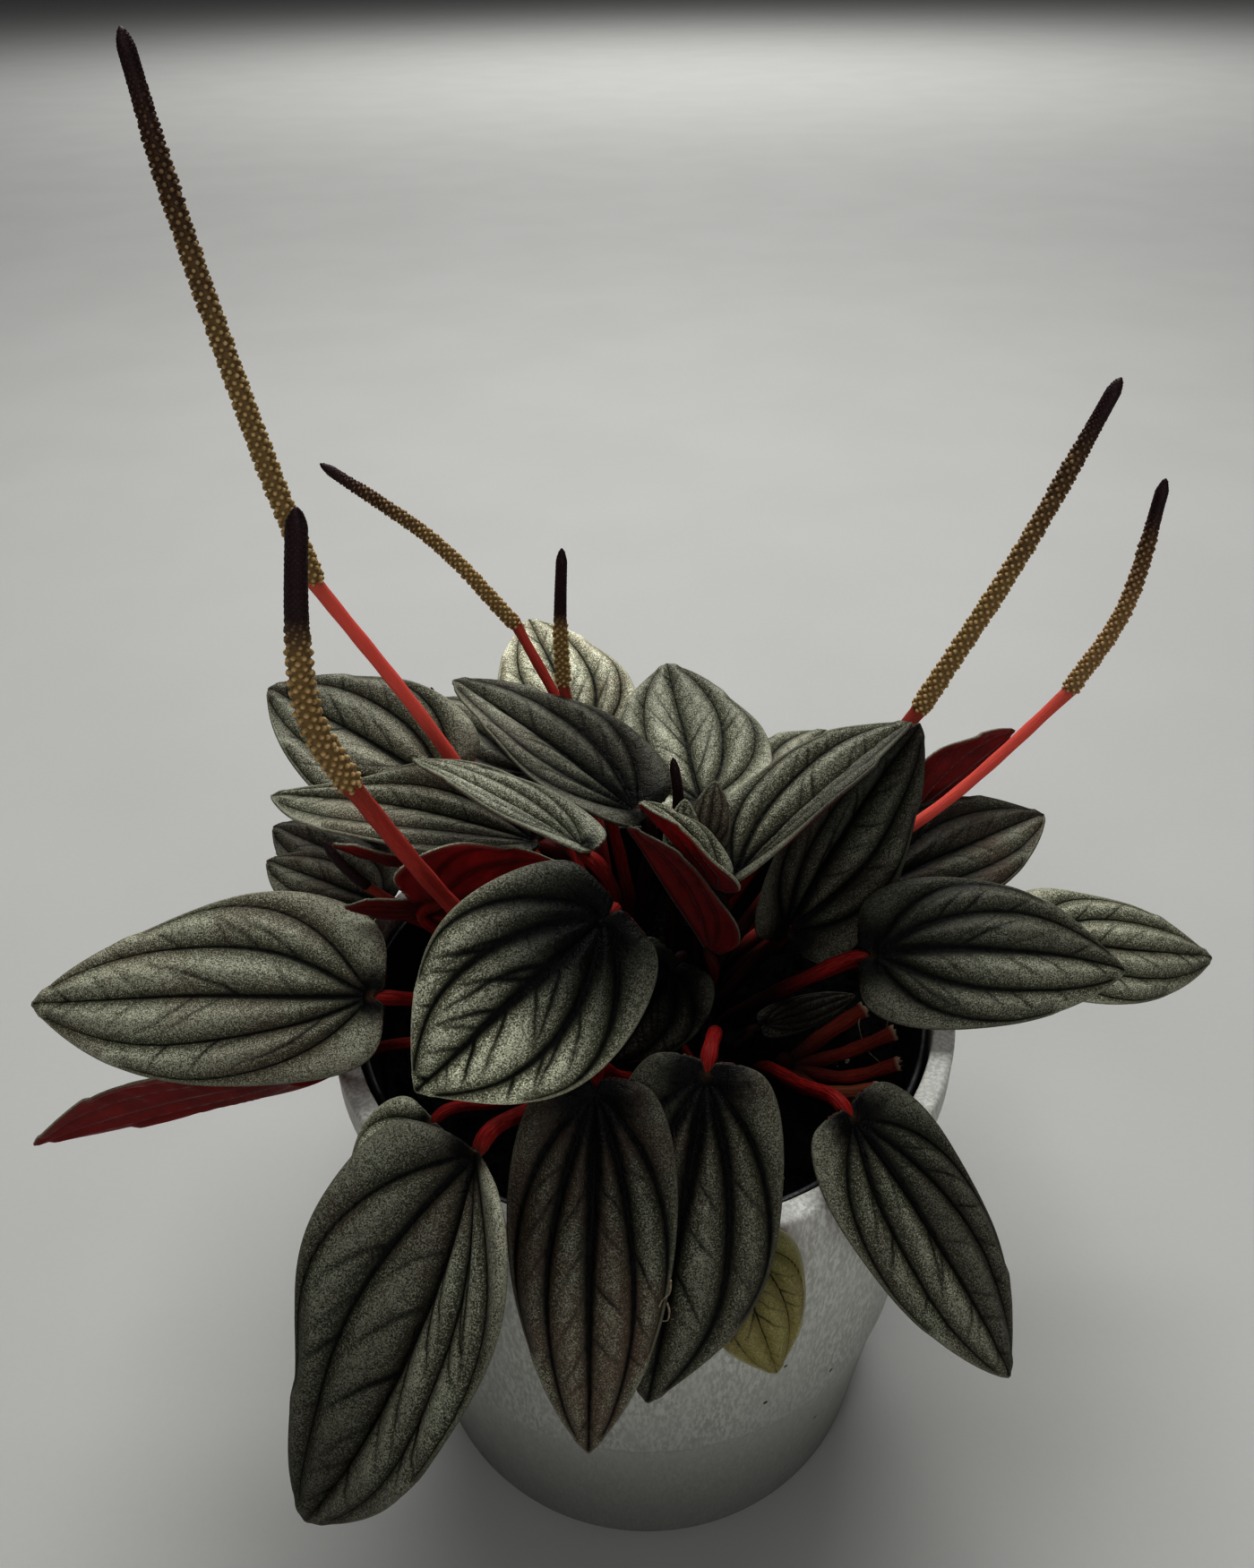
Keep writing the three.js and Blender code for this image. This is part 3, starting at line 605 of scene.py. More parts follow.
# Painted shade: the stem is darkened almost to black all along, deep in the crown.
stem_values = stalk_values(run, STEM_SIDES, STEM_RADIUS, 0, 0.9, 0.25)
stub_parts = [(*tube(line, girth, STEM_SIDES), stem_values)]
stub_start = np.array([*STEM_AT, STEM_TOP - 2.5])
for number, stub in enumerate(STUBS):
    line, run = smooth_line([stub_start, stub["via"], stub["end"]], 60)
    share = run / run[-1]
    ribs = 1 + 0.07 * np.sin(np.arange(STUB_SIDES) * 2 * math.pi / STUB_SIDES * 5 + number)
    torn = chance.normal(size=STUB_SIDES) * 0.35
    girth = stub["radius"] * np.outer(1 + 0.06 * np.sin(run * 0.9 + number) + 0.12 * (share > 0.96), ribs)
    points, quads, caps = tube(line, girth, STUB_SIDES)
    heading = unit(line[-1] - line[-2])
    points[-2 - STUB_SIDES : -2] += torn[:, None] * heading
    points[-1] -= heading * 0.9
    cut = on_tube(np.clip((share - 0.955) / 0.03, 0, 1), STUB_SIDES, 0, 1)
    # Painted shade: each stub darkens towards the stem.
    deep = painted_crown_shade(points, 1.5, 12, STEM_AT)
    values = stalk_values(run, STUB_SIDES, stub["radius"], 7.0 * number, deep, stub["pale"], cut)
    stub_parts.append((points, quads, caps, values))
points, quads, caps, values = merged(stub_parts)
stubs = add_piece("cut_stubs", points, quads, [red_stalk], caps, values=values)
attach(stubs, "root")
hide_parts("stem_stubs")

DRY_STALK = [(6, -13, 113), (11.5, -20, 107), (14.5, -26, 102), (15.5, -32, 100.6)]
DRY_FIBRES = [
    [(2.7, -72, 123.7), (2.4, -72, 120.4), (1.5, -72, 118.9), (0.9, -72, 116.7), (1.1, -72, 114),
     (2.1, -72, 113.7), (2.5, -72, 116.2), (2.2, -72, 118.2)],
    [(44, -2, 109), (45.5, -1.5, 111), (48, -3, 110.5), (47.5, -6, 107), (45.5, -8, 104)],
    [(43, -3.5, 109), (42, -6, 108), (43.5, -9, 104), (46, -10, 101.5)],
]
line, run = smooth_line(DRY_STALK, 60)
girth = 0.75 - 0.25 * np.sin(run * 0.8) * 0.3 - 0.2 * run / run[-1]
points, quads, caps = tube(line, girth, 10)
withered = on_tube(np.clip(run / run[-1] * 1.6 - 0.5, 0, 0.9), 10, 0, 0.9)
# Painted shade where the dry stalk lies among the crown's stalks.
deep = painted_crown_shade(points, 10, 16)
values = stalk_values(run, 10, 0.8, 40, deep, withered, withered * 0.3)
dry_stalk = add_piece("dry_stalk", points, quads, [red_stalk], caps, values=values)
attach(dry_stalk, "root")

straw = Look("dry_fibre")
fray = straw.noise(1500, 2)
straw.set(
    Base_Color=straw.mix(straw.between(fray, 0.35, 0.65), DRY_BROWN, DRY_STRAW),
    Roughness=straw.between(fray, 0.3, 0.7, 0.6, 0.85),
)
dry_parts = []
for bends in DRY_FIBRES:
    line, run = smooth_line(bends, 60)
    dry_parts.append((*tube(line, 0.16 + 0.05 * np.sin(run), 6), {}))
points, quads, caps, values = merged(dry_parts)
fibres = add_piece("dry_fibres", points, quads, [straw.material], caps)
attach(fibres, "root")


# Leaves ---------------------------------------------------------------
# Each leaf is a thick, pointed oval on its own stalk. It is quilted: five main veins run from the
# stalk in dark sunken grooves and the silvery flesh puffs up between them; the back is deep red.
BLADE_THICKNESS = 0.75
STALK_RADIUS = 1.55
SMALL_STALK_RADIUS = 1.2
TUCKED_STALK_RADIUS = 0.6
STALK_SIDES = 14
QUILT_DEPTH = 2.6
QUILT_WIDTH = 2.7
SIDE_QUILT_DEPTH = 1.25
SIDE_QUILT_WIDTH = 1.5
HALO_WIDTH = 2.5
LARGE_GRID = (150, 92)
SMALL_GRID = (90, 58)
LEAF_SILVER = (0.52, 0.525, 0.415)
LEAF_GREEN = (0.064, 0.066, 0.040)
LEAF_BROWN = (0.125, 0.078, 0.055)
LEAF_VEIN = (0.0045, 0.0042, 0.0038)
# Pale margin, partly painted light caught along the rim.
LEAF_EDGE_AND_SHINE = (0.25, 0.25, 0.185)
LEAF_KNOT = (0.10, 0.055, 0.03)
YELLOW_SILVER = (0.22, 0.21, 0.10)
YELLOW_GREEN = (0.12, 0.11, 0.035)
BACK_RED = (0.28, 0.010, 0.012)
BACK_DEEP_RED = (0.15, 0.005, 0.006)
BACK_VEIN = (0.10, 0.008, 0.009)
# Painted sheen: the pale pink that grazing light gives a red back.
BACK_SHEEN_PINK = (0.11, 0.035, 0.03)


def leaf(name, root, via, base, tip, face, width, tone_and_painted_light=1.0, brown=0.15, **shape):
    """One leaf. tone makes it paler or darker, partly its own colour and partly painted light and
    shade, and brown is how far its flesh is flushed brownish and its red back painted with a pale
    pink sheen; grooves widens its dark vein bands, twigs strengthens its side veins, dusk paints
    shade on it from the stalk as far as dusk_reach and dark_half paints shade on one half of it, a
    small notch closes its lobes behind the stalk, lean widens one side and narrows the other, most
    at the share low, and tip_light paints the tip brighter or darker than the rest."""
    known = {"fold": 0, "cup": 0, "twist": 0, "arch": 0, "bend": 0, "lobe": 0.07, "full": 0}
    known |= {"grooves": 0.5, "notch": 1.5, "lean": 0, "low": 0.5, "tucked": False}
    known |= {"twigs": 0.48, "dusk": 0.3, "dusk_reach": 0.5, "dark_half": 0, "tip_light": 1}
    known |= {"wave": 0.03, "small": False, "name": name, "root": root, "via": via, "base": base}
    return known | {"tip": tip, "face": face, "width": width, "tone_and_painted_light": tone_and_painted_light, "brown": brown} | shape


# The numbers that darken or brighten each leaf towards its stalk, one half or its tip, and part of its tone,
# are painted light and shade.
LEAVES = [
    leaf("leaf_front", (-3, -8), (-10, -14, 134), (-7.3, -36, 160.5), (-35, -52, 142),
         (0, -0.76, 0.65), 29, 1.6, 0.05, cup=-0.12, arch=0.08, lobe=0.15, full=0.2, notch=0.5,
         grooves=1.0, twigs=0.75, dusk_reach=0.52, dusk=0.85, dark_half=-0.25, tip_light=1.3),
    leaf("leaf_left", (-14, -4), (-30, -11, 119), (-48, -19, 130), (-112, -14, 125),
         (0, -0.6, 0.8), 34, 1.1, 0.35, cup=-0.1, arch=0.06, lobe=0.05, grooves=0.42, lean=-0.12,
         low=0.25, dusk=0.1, dark_half=0.08),
    leaf("leaf_low_left", (-8, -14), (-12, -40, 127), (-26, -58, 136), (-51.8, -90, 92.8),
         (-0.5, -0.6, 0.7), 41.5, 0.75, 0.4, cup=-0.1, arch=0.046, bend=0.1, fold=20.8, twist=26,
         lobe=0, full=-0.12, grooves=0.5, lean=-0.19, low=0.44, twigs=0.65, dusk=0, dark_half=-0.33,
         tip_light=0.6),
    leaf("leaf_low_middle", (-1, -18), (-5, -38, 129), (-8, -52, 140), (-10, -82, 95),
         (0, -0.6, 0.8), 25, 0.75, 1.0, cup=-0.15, arch=0.1, notch=0.6, grooves=0.9, dusk=0.5,
         tip_light=1.15),
    leaf("leaf_low_middle_right", (10, -18), (12, -26, 126), (9, -47, 139), (-1, -76, 98),
         (0, -0.6, 0.8), 27, 0.56, 0.45, cup=-0.15, arch=0.1, grooves=0.95, lean=0.22, low=0.65,
         dusk=0.1, dark_half=-0.05, tip_light=0.95),
    leaf("leaf_yellow", (16, -23), (17, -48, 121), (13, -62, 117), (20.5, -67, 90),
         (0.2, -0.9, 0.3), 19, 1.7, 0.3, cup=-0.1, small=True, grooves=0.3),
    leaf("leaf_low_right", (22, -13), (28, -29, 116), (34, -42, 123), (59, -67, 88),
         (0.3, -0.6, 0.8), 25, 0.68, 0.3, cup=-0.15, arch=0.07, grooves=0.6, dusk=0.14,
         dark_half=0.45, tip_light=1.1),
    leaf("leaf_right", (15, -2), (29, -5, 118), (43, -5, 125), (91, -7, 122),
         (0, -0.5, 0.87), 30, 0.6, 0.15, cup=-0.12, arch=0.08, bend=0.03, grooves=0.75, dusk=0.28,
         dark_half=0.45, tip_light=1.5),
    leaf("leaf_far_right", (20, 2), (54, 7, 117), (79, 13, 113), (123, 19, 101),
         (0, -0.45, 0.9), 25, 1.5, 0.15, cup=-0.1, arch=0.04, bend=-0.02, grooves=0.4, dusk=0,
         dark_half=-0.1, tip_light=0.6),
    leaf("leaf_right_tall", (16, 5), (23, 8, 112), (29, 7, 120), (54, 22, 159),
         (0.35, -0.8, 0.45), 28, 0.6, 0.6, arch=-0.05, fold=22, grooves=0.75, dusk=0, dark_half=0.3,
         tip_light=0.5),
    leaf("leaf_right_back", (18, 11), (34, 18, 114), (50, 23, 119), (89, 41, 124),
         (0, -0.3, 0.95), 27, 0.52, 1.0, cup=0.1, arch=0.03, grooves=0.6, dusk=0.28, dark_half=0.55,
         tip_light=1.35),
    leaf("leaf_upper_right", (8, 4), (12, 2, 130), (16, -6, 145), (51, 19, 162),
         (-0.3, 0, 0.95), 23, 0.95, 0.15, fold=30, arch=0.03, grooves=0.6, dusk=0, dark_half=-0.45,
         tip_light=0.85),
    leaf("leaf_red_back_right", (21, 20), (36, 34, 118), (60, 46, 122), (84, 57, 136),
         (0.2, 0.8, 0.5), 24, 1.0, 0.5, dusk=0, cup=0.1, small=True),
    leaf("leaf_top", (4, 8), (8, 16, 120), (13, 29, 137), (7, 67, 149),
         (0, -0.3, 0.95), 33, 1.5, 0.0, cup=0.12, arch=-0.03, grooves=0.4, dusk=0, dark_half=-0.2,
         tip_light=0.65),
    leaf("leaf_back_right", (10, 16), (18, 28, 115), (28, 42, 122), (46, 76, 125),
         (0, -0.2, 0.98), 27, 1.1, 0.1, arch=0.05, small=True, grooves=0.5),
    leaf("leaf_back_left", (0, 14), (-4, 32, 120), (-11, 50, 138), (-25, 86, 151),
         (0, -0.3, 0.95), 30, 2.5, 0.35, arch=0.03, grooves=0.5),
    leaf("leaf_back_far_left", (-6, 14), (-14, 34, 118), (-24, 54, 128), (-50, 78, 134),
         (0, -0.2, 0.98), 25, 0.9, 0.2, arch=0.05, small=True, grooves=0.5),
    leaf("leaf_upper_left", (0, 2), (0, 8, 128), (0, 15, 145), (-37, 40, 161),
         (0.2, -0.1, 0.97), 27, 0.62, 0.35, fold=14, arch=0.02, grooves=0.75, dusk=0.25,
         dark_half=-0.35, tip_light=1.55),
    leaf("leaf_left_back", (-10, 8), (-24, 19, 124), (-39, 28, 143), (-78, 50, 154),
         (0, -0.45, 0.9), 32, 1.4, 0.3, fold=4, arch=0.02, grooves=0.5, dusk=0, dark_half=-0.15,
         tip_light=0.55),
    leaf("leaf_left_upper", (-6, 0), (-10, -2, 128), (-18.5, -2, 151), (-72, 20, 147),
         (0, -0.35, 0.95), 21, 1.6, 0.5, cup=0.05, arch=0.02, bend=-0.03, fold=18, lobe=0.02,
         grooves=0.4, lean=0.55, low=0.85, dusk=0.6, tip_light=0.6),
    leaf("leaf_top_left", (-1, -3), (-3, -9, 132), (-9.5, -18, 161.5), (-41, 9, 162),
         (0.1, 0.1, 1), 12, 1.05, 0.0, fold=20, arch=0.02, grooves=0.35),
    leaf("leaf_left_small", (-14, 2), (-32, 2, 122), (-50, 6, 131), (-77, 24, 128),
         (0, -0.3, 0.95), 19, 0.6, 0.9, small=True, grooves=0.5),
    leaf("leaf_left_hidden", (-12, 12), (-30, 20, 117), (-51, 25, 121.5), (-80, 41, 124.5),
         (0, -0.2, 0.98), 24, 0.45, 1.0, small=True),
    leaf("leaf_red_left", (-8, -4), (-17, -9, 120), (-36.2, -9.5, 144.5), (-14.5, -8, 151),
         (-0.2, 0.95, 0.1), 22, 1.35, 0.2, dusk=0, lobe=0.3, notch=1.0, small=True),
    leaf("leaf_red_low_left", (-16, -10), (-46, -19, 118), (-64, -21, 113), (-116, -22, 97),
         (0, 0.85, 0.4), 22, 1.2, 0.8, dusk=0, arch=0.04, small=True, grooves=0.4),
    leaf("leaf_pale_small", (-14, -16), (-24, -34, 119), (-36, -41, 122), (-50, -50, 110),
         (0, -0.5, 0.87), 17, 1.5, 0.0, small=True, grooves=0.4),
    leaf("leaf_dark_inner", (4, -12), (6, -16, 122), (5, -19, 135), (-6, -29, 123),
         (0, -0.76, 0.65), 19, 0.25, 0.2, lobe=0.2, small=True, grooves=0.8),
    leaf("leaf_young_red", (6, -8), (10, -13, 120), (12, -17, 138), (-2, -18, 166),
         (0.6, 0.7, 0.2), 13, 0.5, 0.2, dusk=0, fold=35, small=True),
    leaf("leaf_young_green", (10, -6), (12, -12, 126), (13.5, -13.5, 149), (0, -10, 165),
         (0.7, 0.2, 0.6), 15, 1.1, 0.05, fold=30, small=True),
    leaf("leaf_young_centre", (8, -1), (7, -3, 124), (7, -2, 147), (8, 3, 156),
         (0, -0.8, 0.5), 7, 0.9, 0.5, fold=20, small=True),
    leaf("leaf_low_inner", (18, -7), (21, -5, 104), (24, -3, 105), (43, 3, 107),
         (0, -0.5, 0.87), 7, 0.25, 1.0, small=True),
    leaf("leaf_behind_right", (14, 23), (34, 45, 117.5), (48, 57, 117), (78, 90, 95),
         (0, 0, 1), 28, 0.95, 0.2, arch=0.08, small=True),
    leaf("leaf_behind_middle", (6, 20), (10, 44, 118), (14, 64, 118), (20, 108, 92),
         (0, 0, 1), 30, 1.0, 0.1, arch=0.1, small=True),
    leaf("leaf_behind_left", (-6, 18), (-16, 42, 118), (-26, 60, 116), (-44, 100, 90),
         (0, 0, 1), 30, 1.0, 0.15, arch=0.1, small=True),
    leaf("leaf_behind_far_left", (-14, 16), (-36, 33, 118), (-54, 46, 116), (-90, 72, 94),
         (0, 0, 1), 27, 0.95, 0.3, arch=0.08, small=True),
    leaf("leaf_tucked_red", (-11, -1), (-22, -6, 118), (-38.2, -9, 141.3), (-52.8, -9, 142.6),
         (0.1, 0.9, 0.3), 7, 0.7, 0.2, lobe=0.02, small=True, tucked=True),
    leaf("leaf_tucked_sliver", (-9, 0), (-22, 0, 122), (-42.7, 1, 144.1), (-55.8, 1, 149.1),
         (0, 0.8, 0.6), 6.5, 1.1, 0.2, lobe=0, small=True, tucked=True),
    leaf("leaf_tucked_brown", (9, 1), (10, 0, 124), (11.5, -1, 147.5), (13.5, 5, 158.5),
         (0, -0.8, 0.5), 8, 0.6, 1.0, fold=15, small=True, tucked=True),
]


def outline(leaf, t):
    """Half the blade's width from stalk to tip, as a share of its greatest half width."""
    oval = 0.29 * (1 - t) ** 4 - 0.17 * np.exp(-80 * t) + 2.3 * t**0.5 * (1 - t) ** 0.85
    return oval * (1 + leaf["full"] * np.sin(math.pi * t**1.5))


def behind_stalk(leaf, t, edge):
    """How far the two lobes reach back past the stalk, as a share of the blade's length."""
    rounding = 1 - 0.45 * np.exp(-t / 0.012) * edge**4
    return leaf["lobe"] * edge ** leaf["notch"] * (1 - t) ** 4 * rounding


def blade_frame(leaf):
    """Where the blade starts, its directions towards tip, side and upper face, and its length."""
    base = np.array(leaf["base"], float)
    along = np.array(leaf["tip"], float) - base
    length = np.linalg.norm(along)
    along = along / length
    face = np.array(leaf["face"], float)
    face = unit(face - along * (face @ along))
    return base, along, np.cross(face, along), face, length


def blade_sheet(leaf, t, u, raised_by):
    """The blade's middle surface for t from stalk to tip and u from edge to edge."""
    base, along, side, face, length = blade_frame(leaf)
    edge = np.abs(u)
    skew = 1 + leaf["lean"] * np.sign(u) * np.exp(-(((t - leaf["low"]) / 0.3) ** 2))
    across = outline(leaf, t) * edge * leaf["width"] / 2 * skew
    tilt = math.radians(leaf["fold"])
    ripple = np.sin(9 * t + 2 * np.sign(u)) * np.sin(math.pi * t)
    ruffle = leaf["wave"] * leaf["width"] * edge**3 * ripple
    raised = across * math.sin(tilt) + leaf["cup"] * across * edge + raised_by + ruffle
    outward = np.sign(u) * across * math.cos(tilt)
    roll = np.radians(leaf["twist"] * (t - 0.5))
    hump = length * 4 * t * (1 - t)
    to_tip = length * (t - behind_stalk(leaf, t, edge))
    to_side = leaf["bend"] * hump + outward * np.cos(roll) + raised * np.sin(roll)
    to_face = leaf["arch"] * hump - outward * np.sin(roll) + raised * np.cos(roll)
    return base + to_tip[..., None] * along + to_side[..., None] * side + to_face[..., None] * face


def near_line(x, y, line):
    """Distance of each point from a line, and how far along the line its nearest place is."""
    start, step = line[:-1].T, np.diff(line, axis=0).T
    away_x, away_y = x[..., None] - start[0], y[..., None] - start[1]
    share = np.clip((away_x * step[0] + away_y * step[1]) / (step**2).sum(0), 0, 1)
    away = np.hypot(away_x - share * step[0], away_y - share * step[1])
    nearest = away.argmin(-1)[..., None]
    reached = np.take_along_axis(share, nearest, -1) + nearest
    return np.take_along_axis(away, nearest, -1)[..., 0], reached[..., 0] / len(step[0])


def inner_vein(t):
    """How far out, as a share of the half width, the inner pair of main veins runs."""
    return 0.62 * (1 - np.exp(-t / 0.28)) + 0.14 * t**2


def outer_vein(t):
    """The same for the outer pair, which reaches the edge past halfway."""
    return 0.93 * (1 - np.exp(-t / 0.16)) + 0.12 * t


def vein_lines(leaf, length, chance):
    """The leaf's veins laid flat: each a line in mm, whether main, its strength, and half widths."""
    half = leaf["width"] / 2
    lines = []

    def flat(t, u):
        to_tip = length * (t - behind_stalk(leaf, t, np.abs(u)))
        return np.stack([to_tip, outline(leaf, t) * u * half], -1)

    t = np.linspace(0, 0.985, 30)
    lines.append((flat(t, 0.012 * np.sin(t * 9)), True, 1.0, 1.9, 0.32))
    for side in (-1, 1):
        t = np.linspace(0, 0.95, 30) ** 1.3
        wander = 0.012 * np.sin(11 * t + chance.uniform(0, 6))
        lines.append((flat(t, side * (inner_vein(t) + wander)), True, 0.95, 1.55, 0.28))
        t = np.linspace(0, 0.74, 26) ** 1.3
        lines.append((flat(t, side * np.minimum(outer_vein(t), 0.96)), True, 0.85, 1.2, 0.22))
        from_middle = [(0, start) for start in (0.22, 0.36, 0.5, 0.64, 0.78, 0.88)]
        from_inner = [(1, start) for start in (0.14, 0.27, 0.4, 0.54, 0.68)]
        for outward, start in from_middle + from_inner:
            start = start + chance.uniform(-0.05, 0.05)
            place = flat(np.array(start), np.array(side * inner_vein(start) * outward))
            heading = math.radians(chance.uniform(26, 58))
            bending = chance.uniform(0.94, 1.0)
            line = [place]
            for _ in range(34):
                wiggle = chance.normal() * 0.09
                turn = (heading + wiggle) * side
                place = place + 0.7 * np.array([math.cos(turn), math.sin(turn)])
                heading *= bending
                share = min(max(place[0] / length, 0.02), 0.97)
                reach = outline(leaf, share) * half
                stop = 0.93 if outward else 0.97 * inner_vein(share)
                line.append(place)
                if abs(place[1]) > stop * reach:
                    break
            if len(line) > 3:
                strength = leaf["twigs"] * chance.uniform(0.6, 1.15)
                lines.append((np.array(line), False, strength, 0.3 + 0.3 * strength, 0.18))
    return lines


def leaf_looks(name, silver, green):
    """The upper and lower finish of a leaf: satin, grainy silver above, and deep red below."""
    upper = Look(name)
    flecks = upper.noise(4200, 1, 0.6)
    mottle = upper.noise(1000, 3, 0.6)
    patches = upper.noise(85, 3, 0.55)
    lumps = upper.noise(380, 2, 0.55)
    place = upper.named("leaf_place", "Vector")
    bends = upper.node("TexNoise")
    bends.inputs["Scale"].default_value = 0.5
    upper.join(place, bends.inputs["Vector"])
    bent = upper.node("VectorMath", operation="MULTIPLY_ADD")
    for socket, value in zip(bent.inputs, (bends.outputs["Color"], (1.6, 1.6, 0), place)):
        upper.join(value, socket)
    net_place = upper.scaled((0.75, 1.0, 1.0), bent.outputs[0])
    net = upper.between(upper.cells(0.42, net_place, "DISTANCE_TO_EDGE"), 0.0, 0.11, 1.0, 0.0)
    net = upper.times(net, upper.between(mottle, 0.4, 0.62))
    grainy = upper.plus(upper.times(flecks, 0.84), upper.times(mottle, 0.16))
    # The halo: flesh greener beside the veins, partly the leaf's own colour and partly painted shade on the
    # groove sides.
    eaten = upper.times(upper.named("halo_and_groove_shade"), 0.34)
    silvery = upper.between(upper.maths("SUBTRACT", grainy, eaten), 0.26, 0.62)
    silvery = upper.times(silvery, upper.between(net, 0.0, 1.0, 1.0, 0.55))
    colour = upper.mix(silvery, green, silver)
    flushed = upper.times(upper.between(patches, 0.32, 0.66), upper.named("brown"))
    flushed = upper.times(flushed, upper.between(flecks, 0.3, 0.7, 1.0, 0.45))
    colour = upper.mix(flushed, colour, LEAF_BROWN)
    ragged = upper.plus(upper.times(mottle, 0.45), upper.times(flecks, 0.3))
    ragged = upper.plus(upper.named("vein"), ragged)
    colour = upper.mix(upper.between(ragged, 0.46, 1.02), colour, LEAF_VEIN)
    # Pale margin, partly painted light caught along the rim.
    colour = upper.mix(upper.times(upper.named("edge"), 0.5), colour, LEAF_EDGE_AND_SHINE)
    colour = upper.mix(upper.named("knot"), colour, LEAF_KNOT)
    relief = upper.plus(upper.plus(flecks, upper.times(mottle, 1.4)), upper.times(lumps, 2.2))
    relief = upper.maths("SUBTRACT", relief, upper.times(net, 0.7))
    # Painted light and shade: the flesh colour is scaled by the leaf's tone with its painted light and
    # shade.
    upper.set(
        Base_Color=upper.dimmed(colour, upper.named("tone_and_painted_light")),
        Roughness=upper.between(flecks, 0.3, 0.7, 0.40, 0.58),
        Normal=upper.bump(relief, 0.7, 0.2),
        Specular_IOR_Level=0.2,
    )
    under = Look(name + "_back")
    blush = under.noise(160, 4, 0.6)
    skin = under.noise(1700, 2, 0.6)
    colour = under.mix(under.between(blush, 0.3, 0.7), BACK_DEEP_RED, BACK_RED)
    colour = under.mix(under.between(under.named("vein"), 0.3, 0.9, 0.0, 0.6), colour, BACK_VEIN)
    # Pale margin on the back, partly painted light caught along the rim.
    colour = under.mix(under.times(under.named("edge"), 0.25), colour, LEAF_EDGE_AND_SHINE)
    # Painted sheen: where told, the back pales towards pink as grazing light would make it.
    colour = under.mix(under.times(under.named("brown"), 0.7), colour, BACK_SHEEN_PINK)
    # Painted light and shade: the back too is scaled by the leaf's tone with its painted light and shade.
    under.set(
        Base_Color=under.dimmed(colour, under.named("tone_and_painted_light")),
        Roughness=under.between(skin, 0.3, 0.7, 0.42, 0.58),
        Normal=under.bump(under.plus(skin, blush), 0.5, 0.18),
        Sheen_Weight=0.12,
        Sheen_Roughness=0.4,
        Specular_IOR_Level=0.18,
    )
    return [upper.material, under.material]


silver_leaf = leaf_looks("silver_leaf", LEAF_SILVER, LEAF_GREEN)
yellow_leaf = leaf_looks("yellowing_leaf", YELLOW_SILVER, YELLOW_GREEN)


